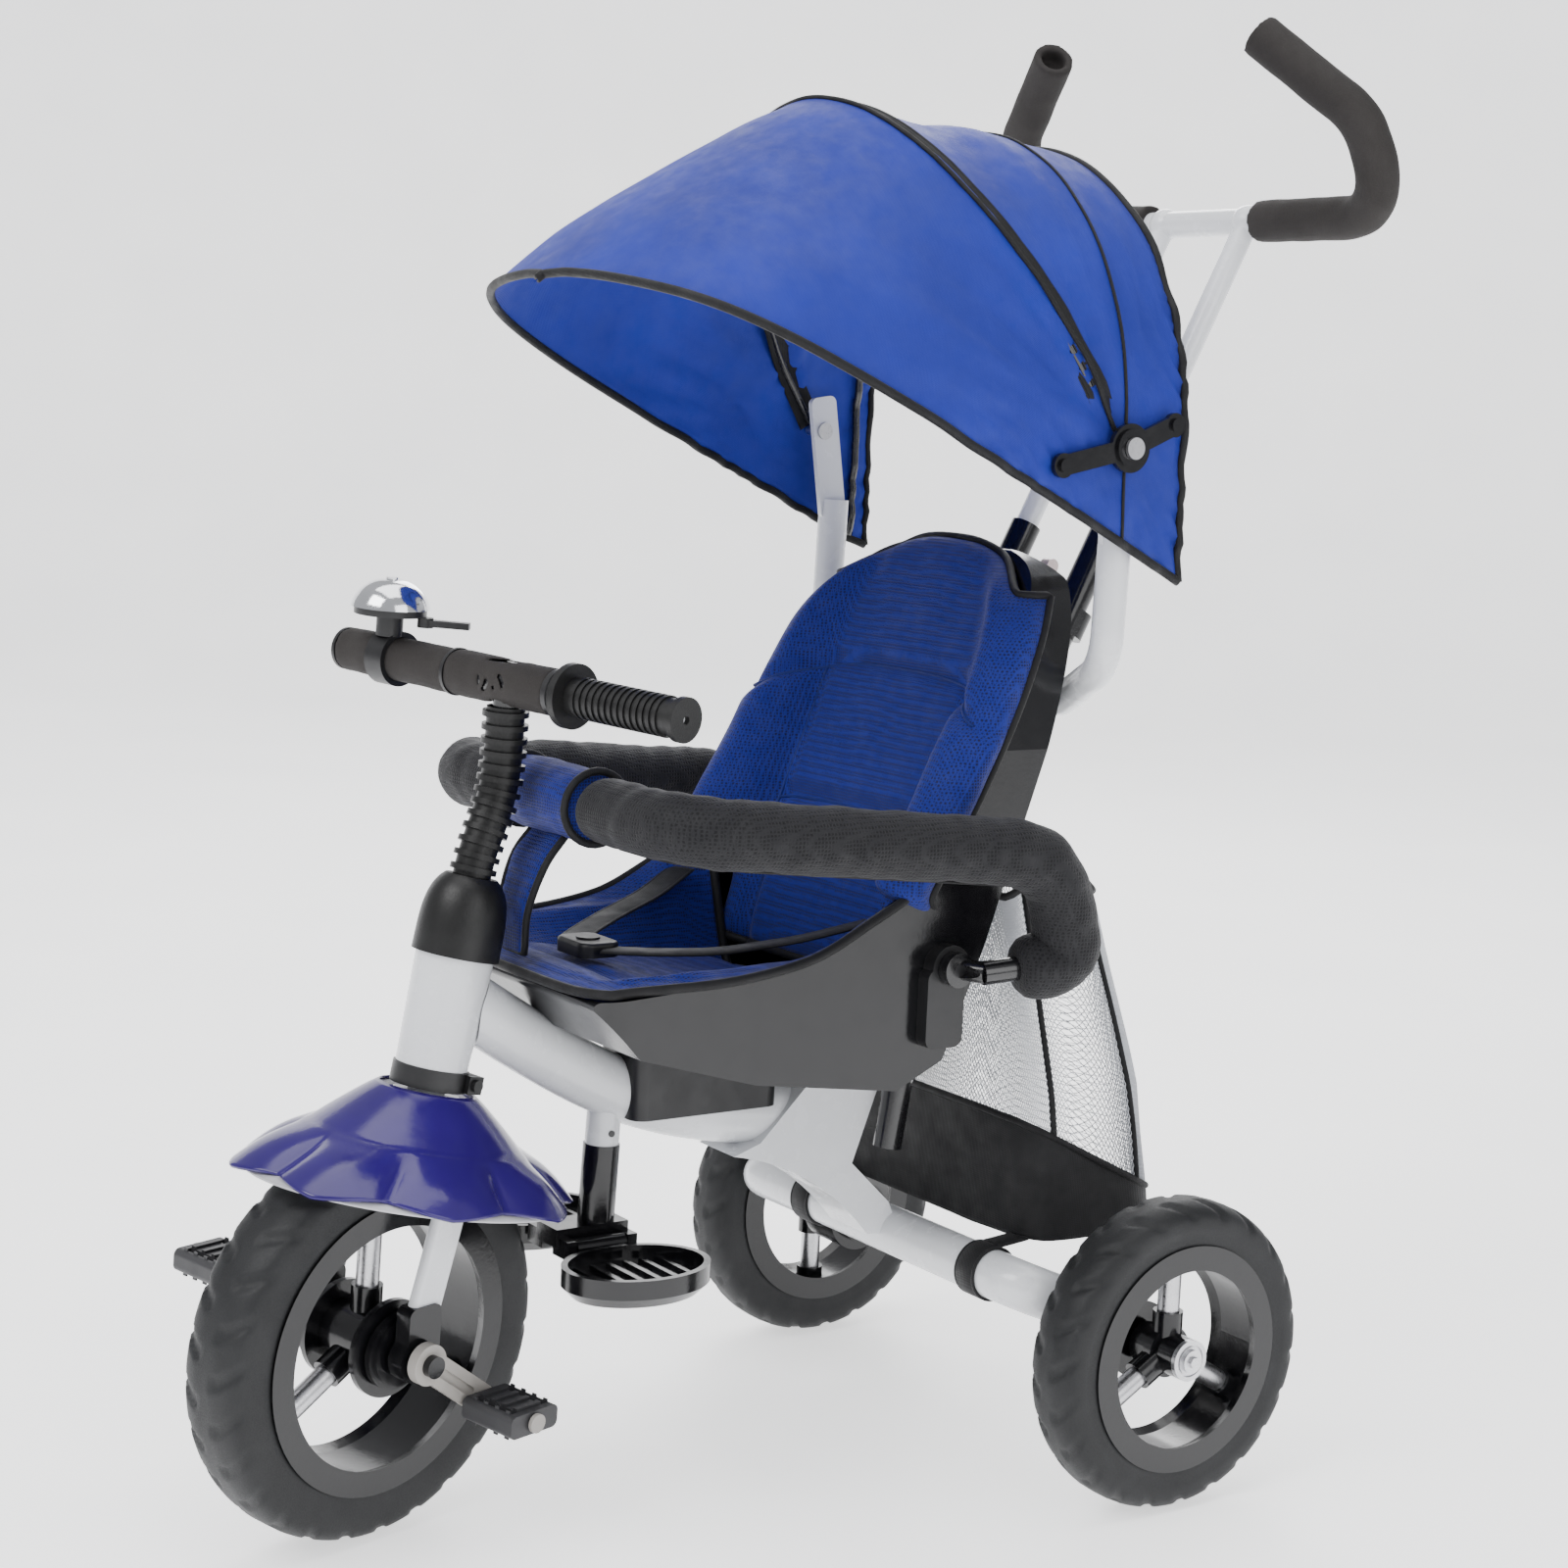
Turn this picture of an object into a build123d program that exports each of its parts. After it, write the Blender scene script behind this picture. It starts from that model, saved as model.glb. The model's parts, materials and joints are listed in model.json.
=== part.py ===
"""Children's push tricycle with a folding hood, built as separate named pieces.

Working frame while building: millimetres, +Z up, the rider faces -Y, +X is the rider's left, and the
point (0, 0, 0) lies on the ground straight below the rear axle. Every piece is moved back along +Y by
REAR_AXLE_Y as it is written, so the finished origin is on the ground under the middle of the length.
The front end is built pointing straight ahead and then turned by STEER_AT_REST.
"""

import os
from math import atan2, cos, degrees, radians, sin

from build123d import *

# ---- driving dimensions -------------------------------------------------------------------------
REAR_AXLE_Y = 250.5  # rear axle behind the middle of the overall length
TRACK_HALF = 236.0  # centre plane of a rear wheel
REAR_RADIUS = 120.0
REAR_HALF_WIDTH = 24.0
FRONT_RADIUS = 146.0
FRONT_HALF_WIDTH = 29.0
FRONT_RIDE = 0.725  # how far turning the raked fork lets the wheel down
WHEELBASE = 561.0
STEER_AT_REST = 16.0  # the front wheel stands turned to the rider's left
FIT = 0.05  # radial clearance of a turning or sliding fit
GAP = 0.3  # clearance between pieces that move past each other

# ---- steering axis ------------------------------------------------------------------------------
HEAD_BOTTOM = Vector(0, -511, 341)
HEAD_LENGTH = 81.0
RAKE = 11.7
STEER_DIRECTION = Vector(0, sin(radians(RAKE)), cos(radians(RAKE)))
STEER_PLANE = Plane(origin=HEAD_BOTTOM, x_dir=(1, 0, 0), z_dir=STEER_DIRECTION)
STEER_AXIS = Axis(HEAD_BOTTOM, STEER_DIRECTION)
FRONT_HUB = Vector(0, -WHEELBASE, FRONT_RADIUS + FRONT_RIDE)
BAR_CENTRE = Vector(0, -459, 617)

# ---- frame --------------------------------------------------------------------------------------
MAIN_PATH = [(0, -484, 384), (0, -415, 340), (0, -345, 304), (0, -245, 278), (0, -140, 272)]
MAIN_WIDTH = 42.0
MAIN_HEIGHT = 48.0
CROSS_Y = -100.0
CROSS_Z = 169.0
CROSS_RADIUS = 19.0
LEG_X = 184.0
STUB_FOOT = Vector(0, -366, 267)  # lower end of the short stub that carries the footrest
STUB_UP = Vector(0, 0.05, 1).normalized()
CARRIER_X = (164.0, 206.0)

# ---- seat ---------------------------------------------------------------------------------------
SEAT_HALF = 150.0
SHELL_WALL = 6.0

# ---- push handle --------------------------------------------------------------------------------
STEM_X = 50.0
STEM_LEAN = 27.7
STEM_FOOT_Y = -5.0
STEM_FOOT_Z = 622.0
STEM_RADIUS = 9.5
SLEEVE_RADIUS = 12.5
SLEEVE_LENGTH = 125.0
POST_RADIUS = 11.5
STEM_INSERT = 130.0
HANDLE_TOP = 411.0  # from the foot of the sleeve up to the crossbar, along the stem
STEM_UP = Vector(0, sin(radians(STEM_LEAN)), cos(radians(STEM_LEAN)))

# ---- hood ---------------------------------------------------------------------------------------
HOOD_PIVOT = Vector(0, -65, 802)
UPRIGHT_X = 181.0
# one arch per row: distance along Y, half width, height of the springing line, rise of the arch
HOOD_ARCHES = [
    (5, 200, 803, 224),
    (-110, 204, 803, 240),
    (-220, 204, 803, 244),
    (-310, 203, 815, 208),
    (-385, 202, 842, 133),
    (-440, 184, 862, 70),
    (-464, 150, 872, 44),
]
HOOD_SKIN = 2.5
HOOD_EDGE_REAR = 703.0
HOOD_EDGE_SLOPE = 0.472

TO_RECORD = Pos(0, REAR_AXLE_Y, 0)


def save(part, label):
    """Move a finished piece into the record frame, name it and write it."""
    placed = TO_RECORD * part
    placed.label = label
    export_step(placed, f"parts/{label}.step")


def save_front(part, label):
    """As save, for a piece of the front end that was built pointing straight ahead."""
    save(part.rotate(STEER_AXIS, STEER_AT_REST), label)


def across(point, half_length, radius):
    """A round bar along X, centred on a point."""
    with BuildPart() as bar:
        with BuildSketch(Plane(origin=point, x_dir=(0, 1, 0), z_dir=(1, 0, 0))):
            Circle(radius)
        extrude(amount=half_length, both=True)
    return bar.part


def ring(point, direction, outer, inner, length):
    """A round sleeve that starts at a point and runs along a direction."""
    with BuildPart() as sleeve:
        with BuildSketch(Plane(origin=point, z_dir=direction)):
            Circle(outer)
            if inner > 0:
                Circle(inner, mode=Mode.SUBTRACT)
        extrude(amount=length)
    return sleeve.part


def tube(points, radius, start=None, end=None):
    """A round bar swept along a smooth curve through points."""
    tangents = (start, end) if start and end else None
    with BuildPart() as bar:
        with BuildLine() as path:
            if tangents:
                Spline(*points, tangents=tangents)
            else:
                Spline(*points)
        with BuildSketch(Plane(origin=path.line @ 0, z_dir=path.line % 0)):
            Circle(radius)
        sweep(path=path.line)
    return bar.part


def bent(points, radius, bend):
    """A round bar along straight legs joined by bends of one radius."""
    with BuildPart() as bar:
        with BuildLine() as path:
            FilletPolyline(*points, radius=bend)
        with BuildSketch(Plane(origin=path.line @ 0, z_dir=path.line % 0)):
            Circle(radius)
        sweep(path=path.line)
    return bar.part


def ribbon(points, width_dir, width, thickness):
    """A flat strap swept along a curve; width_dir is its width direction at the start."""
    with BuildPart() as strap:
        with BuildLine() as path:
            Spline(*points)
        with BuildSketch(Plane(origin=path.line @ 0, x_dir=width_dir, z_dir=path.line % 0)):
            Rectangle(width, thickness)
        sweep(path=path.line, is_frenet=False)
    return strap.part


def without_crumbs(part):
    """The part without the tiny solids that a trimming cut can leave behind."""
    return Part() + part.solids().filter_by(lambda solid: solid.volume > 1000)


# ---- wheels -------------------------------------------------------------------------------------
def tyre(radius, half_width, bead):
    """A pneumatic tyre round the X axis, with two rain grooves and a sidewall groove."""
    shoulder = radius - 17
    with BuildPart() as body:
        with BuildSketch(Plane.XY):
            with BuildLine():
                Line((-half_width + 2, bead), (half_width - 2, bead))
                Line((half_width - 2, bead), (half_width, bead + 6))
                Line((half_width, bead + 6), (half_width, shoulder))
                ThreePointArc(
                    (half_width, shoulder), (half_width * 0.72, radius - 5), (0, radius)
                )
                ThreePointArc(
                    (0, radius), (-half_width * 0.72, radius - 5), (-half_width, shoulder)
                )
                Line((-half_width, shoulder), (-half_width, bead + 6))
                Line((-half_width, bead + 6), (-half_width + 2, bead))
            make_face()
            with Locations((-half_width * 0.3, radius), (half_width * 0.3, radius)):
                Circle(2.2, mode=Mode.SUBTRACT)
            with Locations((-half_width, bead + 12), (half_width, bead + 12)):
                Circle(1.2, mode=Mode.SUBTRACT)
        revolve(axis=Axis.X)
    return body.part


def rim(radius, half_width, opening, first_spoke):
    """The rim barrel with its two bead flanges and three spoke sockets."""
    with BuildPart() as barrel:
        with BuildSketch(Plane.XY):
            with BuildLine():
                Polyline(
                    (-half_width - 0.5, opening),
                    (-half_width + 8, opening + 3),
                    (half_width - 8, opening + 3),
                    (half_width + 0.5, opening),
                    (half_width + 0.5, radius + 4),
                    (half_width - 2, radius),
                    (-half_width + 2, radius),
                    (-half_width - 0.5, radius + 4),
                    close=True,
                )
            make_face()
        revolve(axis=Axis.X)
        with Locations(Rot(first_spoke, 0, 0)):
            with PolarLocationsAboutX(3, opening - 5):
                Cylinder(11.5, 14, align=(Align.CENTER, Align.CENTER, Align.MIN))
        with Locations(Rot(first_spoke, 0, 0)):
            with PolarLocationsAboutX(3, opening - 8):
                Cylinder(8.5, 12, align=(Align.CENTER, Align.CENTER, Align.MIN), mode=Mode.SUBTRACT)
    return barrel.part


def PolarLocationsAboutX(count, radius):
    """Places spaced evenly round the X axis, each with its Z pointing outwards."""
    return Locations(*[Rot(360 / count * i, 0, 0) * Pos(0, 0, radius) for i in range(count)])


def spokes(inner, outer, first_spoke):
    """Three round spokes, each from the hub socket into the rim socket."""
    with BuildPart() as set_of_three:
        with Locations(Rot(first_spoke, 0, 0)):
            with PolarLocationsAboutX(3, inner):
                Cylinder(8.5, outer - inner, align=(Align.CENTER, Align.CENTER, Align.MIN))
    return set_of_three.part


def hub(half_length, radius, socket_top, bore, first_spoke, flanges):
    """The hub barrel with three spoke sockets and round flanges, bored along X."""
    with BuildPart() as core:
        with BuildSketch(Plane.YZ):
            Circle(radius)
        extrude(amount=half_length, both=True)
        for place, flange_radius, thickness in flanges:
            with BuildSketch(Plane.YZ.offset(place)):
                Circle(flange_radius)
            extrude(amount=thickness)
        with Locations(Rot(first_spoke, 0, 0)):
            with PolarLocationsAboutX(3, 0):
                Cylinder(11.5, socket_top, align=(Align.CENTER, Align.CENTER, Align.MIN))
        with Locations(Rot(first_spoke, 0, 0)):
            with PolarLocationsAboutX(3, radius + 2):
                Cylinder(8.5, socket_top, align=(Align.CENTER, Align.CENTER, Align.MIN), mode=Mode.SUBTRACT)
        with BuildSketch(Plane.YZ):
            Circle(bore)
        extrude(amount=half_length + 30, both=True, mode=Mode.SUBTRACT)
    return core.part


def rear_wheels():
    """Both rear wheels: tyre, rim, hub, and the bright spokes with the outer cap."""
    rim_radius = 84.0
    opening = 69.0
    for side, name, first in ((1, "left", 0), (-1, "right", 180)):
        place = Pos(side * TRACK_HALF, 0, REAR_RADIUS)
        save(place * tyre(REAR_RADIUS, REAR_HALF_WIDTH, rim_radius), f"rear_{name}_tyre")
        save(place * rim(rim_radius, REAR_HALF_WIDTH, opening, first), f"rear_{name}_rim")
        save(place * hub(24, 16, 32, 6 + FIT, first, [(-4, 20, 8)]), f"rear_{name}_hub")
        bright = spokes(19, opening, first) + rear_cap(side)
        save(place * bright, f"rear_{name}_spokes")


def rear_cap(side):
    """Stepped round cap on the outer end of a rear hub."""
    with BuildPart() as cap:
        with BuildSketch(Plane.YZ.offset(24 * side)):
            Circle(16)
        extrude(amount=4 * side)
        with BuildSketch(Plane.YZ.offset(28 * side)):
            Circle(9)
        extrude(amount=3 * side)
        with BuildSketch(Plane.YZ.offset(28 * side)):
            Circle(12.5)
            Circle(11, mode=Mode.SUBTRACT)
        extrude(amount=-1.5 * side, mode=Mode.SUBTRACT)
        with BuildSketch(Plane.YZ.offset(31 * side)):
            RegularPolygon(4.5, 6)
        extrude(amount=2.5 * side)
    return cap.part


def front_wheel():
    """The driven front wheel: it turns with its axle and both cranks."""
    place = Pos(*FRONT_HUB)
    rim_radius = 105.0
    opening = 90.0
    first = 0
    flanges = [(-38, 30, 5), (-28, 36, 5), (24, 36, 5), (32, 28, 5), (-3, 24, 6)]
    save_front(place * tyre(FRONT_RADIUS, FRONT_HALF_WIDTH, rim_radius), "front_tyre")
    save_front(place * rim(rim_radius, FRONT_HALF_WIDTH, opening, first), "front_rim")
    save_front(place * spokes(27, opening, first), "front_spokes")
    axle = across(FRONT_HUB, 76, 8)
    save_front(place * hub(40, 24, 40, 7, first, flanges) + axle, "front_hub")
    arms = crank(1) + crank(-1) + pedal_pin(1) + pedal_pin(-1)
    save_front(arms, "cranks")
    save_front(pedal(1), "pedal_left")
    save_front(pedal(-1), "pedal_right")


CRANK_LENGTH = 66.0
CRANK_ANGLE = 36.0  # below the rearward horizontal, on the rider's left
CRANK_X = 62.0
PEDAL_X = 98.0


def crank_end(side):
    """Centre of the pedal pin in the plane of the wheel."""
    back = side * CRANK_LENGTH * cos(radians(CRANK_ANGLE))
    down = side * CRANK_LENGTH * sin(radians(CRANK_ANGLE))
    return FRONT_HUB + Vector(0, back, -down)


def crank(side):
    """A flat crank arm with a groove down its outer face."""
    tilt = -CRANK_ANGLE if side > 0 else 180 - CRANK_ANGLE
    face = Plane(origin=FRONT_HUB + Vector(side * CRANK_X, 0, 0), x_dir=(0, 1, 0), z_dir=(1, 0, 0))
    outward = face.offset(8) if side > 0 else face.offset(-8)
    with BuildPart() as arm:
        with BuildSketch(Plane(face.location * Rot(0, 0, tilt))):
            with Locations((CRANK_LENGTH / 2, 0)):
                SlotCenterToCenter(CRANK_LENGTH, 22)
            Circle(15)
        extrude(amount=8 * side)
        with BuildSketch(Plane(outward.location * Rot(0, 0, tilt))):
            with Locations((CRANK_LENGTH / 2, 0)):
                SlotCenterToCenter(CRANK_LENGTH - 30, 7)
        extrude(amount=-2.5 * side, mode=Mode.SUBTRACT)
        add(across(FRONT_HUB, 90, 8), mode=Mode.SUBTRACT)
        add(pedal_pin(side), mode=Mode.SUBTRACT)
    return arm.part


def pedal_pin(side):
    """The spindle that the pedal turns on, with a head at its outer end."""
    centre = crank_end(side)
    reach = Vector(side * CRANK_X, 0, 0)
    pin = ring(centre + reach, (side, 0, 0), 5, 0, 62)
    head = ring(centre + reach + Vector(side * 62, 0, 0), (side, 0, 0), 7, 0, 3)
    return pin + head


def pedal(side):
    """A block pedal with tread ribs, free to spin on its pin."""
    centre = crank_end(side) + Vector(side * PEDAL_X, 0, 0)
    with BuildPart() as block:
        with Locations(Pos(*centre)):
            Box(50, 46, 17)
        fillet(block.edges().filter_by(Axis.X), 5)
        with Locations(Pos(*centre) * Pos(0, 0, 8.5), Pos(*centre) * Pos(0, 0, -8.5)):
            with GridLocations(11, 0, 4, 1):
                Box(4, 38, 4)
        with Locations(Pos(*centre) * Pos(0, 15, 0), Pos(*centre) * Pos(0, -15, 0)):
            Box(38, 6, 26, mode=Mode.SUBTRACT)
        add(across(centre, 40, 5 + FIT), mode=Mode.SUBTRACT)
    return block.part


# ---- front end ----------------------------------------------------------------------------------
BLADE_X = 51.0
CROWN_W = -51.0  # underside of the fork crown, below the head tube along the steering axis


def neck_tube(radius):
    """The bent gooseneck between the head tube and the handlebar."""
    foot = STEER_PLANE.from_local_coords(Vector(0, 0, HEAD_LENGTH + 4))
    under_bar = BAR_CENTRE - Vector(0, 0, 11)
    return tube([foot, (0, -463, 535), under_bar], radius, STEER_DIRECTION, (0, 0, 1))


def steering_stem(length):
    """The round stem on the steering axis, from inside the fork crown upwards."""
    return ring(STEER_PLANE.from_local_coords(Vector(0, 0, -30)), STEER_DIRECTION, 12, 0, length)


def steering_column():
    """Stem through the head tube with its gooseneck and bar clamp, and the lower clamp ring."""
    stem = steering_stem(HEAD_LENGTH + 34.5)
    with BuildPart() as column:
        add(stem)
        add(neck_tube(10))
        with Locations(Pos(*BAR_CENTRE)):
            Cylinder(15, 34, rotation=(0, 90, 0))
        add(across(BAR_CENTRE, 60, 11), mode=Mode.SUBTRACT)
    save_front(column.part, "steering_stem")
    with BuildPart() as clamp:
        with BuildSketch(STEER_PLANE.offset(-15)):
            Circle(28)
        extrude(amount=15 - GAP)
        with Locations(STEER_PLANE.location * Pos(24, 17, -7.5)):
            Box(14, 14, 13)
        with Locations(STEER_PLANE.location * Pos(31, 17, -7.5) * Rot(0, 90, 0)):
            Cylinder(4.5, 3, align=(Align.CENTER, Align.CENTER, Align.MIN))
        add(stem, mode=Mode.SUBTRACT)
    save_front(clamp.part, "steering_clamp")


def head_cap():
    """Domed rubber cap over the top of the head tube, and the corrugated boot above it."""
    low = HEAD_LENGTH + GAP
    high = low + 58
    with BuildPart() as dome:
        for w, radius in ((low, 32), (low + 30, 31), (low + 47, 27), (high, 19)):
            with BuildSketch(STEER_PLANE.offset(w)):
                Circle(radius)
        loft()
        inside = STEER_PLANE.from_local_coords(Vector(0, 0, low - 5))
        add(ring(inside, STEER_DIRECTION, 14, 0, 75), mode=Mode.SUBTRACT)
    save_front(dome.part, "head_cap")
    boot_foot = STEER_PLANE.from_local_coords(Vector(0, 0, high + 0.2))
    boot_top = BAR_CENTRE - Vector(0, 0, 17.5)
    folds = 13
    with BuildPart() as boot:
        with BuildLine() as path:
            Spline(boot_foot, (0, -463, 535), boot_top, tangents=(STEER_DIRECTION, (0, 0, 1)))
        with BuildSketch(Plane(origin=path.line @ 0, z_dir=path.line % 0)):
            Circle(14)
        sweep(path=path.line)
        for i in range(folds):
            step = (i + 0.5) / folds
            with BuildSketch(Plane(origin=path.line @ step, z_dir=path.line % step)):
                Circle(17)
            extrude(amount=2, both=True)
        add(neck_tube(12), mode=Mode.SUBTRACT)
    save_front(boot.part.solids().sort_by(SortBy.VOLUME)[-1], "steering_boot")


def fork():
    """Crown with its spacer and two white blades, and the black dropouts that carry the axle."""
    hub_local = STEER_PLANE.to_local_coords(FRONT_HUB)
    blade_bottom = hub_local.Z + 26
    with BuildPart() as frame:
        with BuildSketch(STEER_PLANE.offset(CROWN_W)):
            RectangleRounded(2 * BLADE_X + 11, 34, 12)
        extrude(amount=9)
        with BuildSketch(STEER_PLANE.offset(CROWN_W + 9)):
            Circle(24)
        extrude(amount=-CROWN_W - 9 - 19.2)
        with BuildSketch(STEER_PLANE.offset(-19.2)):
            Circle(14)
        extrude(amount=4.1)
        for side in (-1, 1):
            top = STEER_PLANE.from_local_coords(Vector(side * BLADE_X, 0, CROWN_W + 4))
            low = STEER_PLANE.from_local_coords(Vector(side * BLADE_X, hub_local.Y, blade_bottom))
            down = (low - top).normalized()
            with BuildSketch(Plane(origin=top, x_dir=(1, 0, 0), z_dir=down)):
                RectangleRounded(10, 28, 4.5)
            extrude(amount=(low - top).length)
        add(steering_stem(60), mode=Mode.SUBTRACT)
    save_front(frame.part, "fork")
    with BuildPart() as dropouts:
        for side in (-1, 1):
            with BuildSketch(Plane.YZ.offset(side * BLADE_X)):
                with Locations((FRONT_HUB.Y, FRONT_HUB.Z)):
                    Circle(17)
                with Locations((FRONT_HUB.Y + 4, FRONT_HUB.Z + 20)):
                    RectangleRounded(30, 38, 6)
            extrude(amount=7, both=True)
        add(frame.part, mode=Mode.SUBTRACT)
        add(across(FRONT_HUB, 80, 8 + FIT), mode=Mode.SUBTRACT)
    save_front(dropouts.part, "fork_dropouts")


def skirt(shrink, top_w, bottom_w):
    """Flared front mudguard body between two heights, as a loft of ovals."""
    with BuildPart() as flare:
        for w, half_x, half_y in (
            (top_w, 35 - shrink, 35 - shrink),
            (-38, 60 - shrink, 62 - shrink),
            (-64, 84 - shrink, 98 - shrink),
            (bottom_w, 112 - shrink, 140 - shrink),
        ):
            with BuildSketch(STEER_PLANE.offset(w)):
                Ellipse(half_x, half_y)
        loft()
    return flare.part


def fender():
    """Petal-edged mudguard with a grey liner under it, both fixed to the fork crown."""
    top_w = -16.0
    petals = 8
    with BuildPart() as cover:
        add(skirt(0, top_w, -90))
        add(skirt(3, top_w, -90), mode=Mode.SUBTRACT)
        with BuildSketch(STEER_PLANE.offset(top_w - 3)):
            Circle(34)
        extrude(amount=3)
        below = STEER_PLANE.from_local_coords(Vector(0, 0, -30))
        add(ring(below, STEER_DIRECTION, 14.05, 0, 60), mode=Mode.SUBTRACT)
        for i in range(petals):
            angle = 360 / petals * i
            reach = 152 if angle in (90, 270) else 132
            with Locations(STEER_PLANE.location * Rot(0, 0, angle) * Pos(reach, 0, -90)):
                Cylinder(33, 60, mode=Mode.SUBTRACT)
    save_front(cover.part.solids().sort_by(SortBy.VOLUME)[-1], "fender_cover")
    with BuildPart() as liner:
        add(skirt(5, top_w, -89))
        add(skirt(7, top_w, -89), mode=Mode.SUBTRACT)
        with BuildSketch(STEER_PLANE.offset(-58)):
            Circle(200)
        extrude(amount=60, mode=Mode.SUBTRACT)
    save_front(liner.part.solids().sort_by(SortBy.VOLUME)[-1], "fender_liner")


def handlebar():
    """Straight bar with a long foam pad, one ribbed grip and plain end trim."""
    half = 173.0
    save_front(across(BAR_CENTRE, half - 4, 11), "handlebar_tube")
    foam_start = -half + 3
    seam = -52.0
    foam_end = 54.0
    near = ring(BAR_CENTRE + Vector(seam + 1.5, 0, 0), (1, 0, 0), 17, 11, foam_end - seam - 6)
    far = ring(BAR_CENTRE + Vector(foam_start, 0, 0), (1, 0, 0), 16.5, 11, seam - foam_start - 1.5)
    hub_hole = across(BAR_CENTRE, 17.2, 15.2)
    neck_room = ring(BAR_CENTRE - Vector(0, 0, 30), (0, 0, 1), 10.4, 0, 30)
    save_front(near - hub_hole - neck_room + far, "bar_pads")
    with BuildPart() as trim:
        add(ring(BAR_CENTRE + Vector(seam - 1.5, 0, 0), (1, 0, 0), 17.6, 11, 3))
        add(ring(BAR_CENTRE + Vector(foam_end - 4.5, 0, 0), (1, 0, 0), 17.2, 11, 4.5))
        add(ring(BAR_CENTRE + Vector(-half, 0, 0), (1, 0, 0), 16, 0, 3))
        add(ring(BAR_CENTRE + Vector(-half + 3, 0, 0), (1, 0, 0), 11, 0, 1))
    save_front(trim.part, "bar_trim")
    grip_steps = [(62, 6, 23.5), (68, half - 68, 13.5), (half - 5, 5, 16)]
    grip_steps += [(76 + i * 6, 3, 14.8) for i in range(14)]
    with BuildPart() as grip:
        for start, length, radius in grip_steps:
            add(ring(BAR_CENTRE + Vector(start, 0, 0), (1, 0, 0), radius, 0, length))
        add(across(BAR_CENTRE, half - 4, 11), mode=Mode.SUBTRACT)
        add(across(BAR_CENTRE, half + 10, 3), mode=Mode.SUBTRACT)
    save_front(grip.part, "bar_grip_left")


BELL_X = -122.0
BELL_SPOT = Vector(BELL_X, BAR_CENTRE.Y - 5, BAR_CENTRE.Z)
LEVER_SPOT = Vector(BELL_X + 20, BAR_CENTRE.Y + 12, BAR_CENTRE.Z + 24.5)


def bell():
    """Chrome bell on a clamp band round the bar pad, with a thumb lever."""
    up = (0, 0, 1)
    with BuildPart() as base:
        add(ring(BAR_CENTRE + Vector(BELL_X - 9, 0, 0), (1, 0, 0), 20.5, 16.5, 18))
        add(ring(BELL_SPOT + Vector(0, 0, 17), up, 10, 0, 16))
        add(ring(BELL_SPOT + Vector(0, 0, 33), up, 27, 0, 5))
        add(across(BAR_CENTRE, 160, 16.5), mode=Mode.SUBTRACT)
        add(ring(LEVER_SPOT, up, 6 + FIT, 0, 8.3), mode=Mode.SUBTRACT)
    save_front(base.part, "bell_base")
    foot = BELL_SPOT.Z + 38.2
    with BuildPart() as dome:
        with BuildSketch(Plane(origin=(BELL_X, BELL_SPOT.Y, foot), x_dir=(1, 0, 0), z_dir=(0, -1, 0))):
            with BuildLine():
                Line((0, 20.5), (0, 18.5))
                ThreePointArc((0, 18.5), (18, 13.5), (27, 0))
                Line((27, 0), (29.5, 0))
                ThreePointArc((29.5, 0), (20, 15.3), (0, 20.5))
            make_face()
        revolve(axis=Axis((BELL_X, BELL_SPOT.Y, 0), (0, 0, 1)))
    post = ring(BELL_SPOT + Vector(0, 0, 38), up, 3, 0, 19.5)
    nut = ring(BELL_SPOT + Vector(0, 0, 58.6), up, 4.5, 0, 2)
    save_front(dome.part + post + nut, "bell_dome")
    with BuildPart() as lever:
        add(ring(LEVER_SPOT + Vector(0, 0, 0.5), up, 6, 0, 7.3))
        with Locations(Pos(LEVER_SPOT.X + 14, LEVER_SPOT.Y + 10, LEVER_SPOT.Z + 4) * Rot(0, 0, 37)):
            Box(32, 8, 5)
    save_front(lever.part, "bell_lever")


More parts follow.
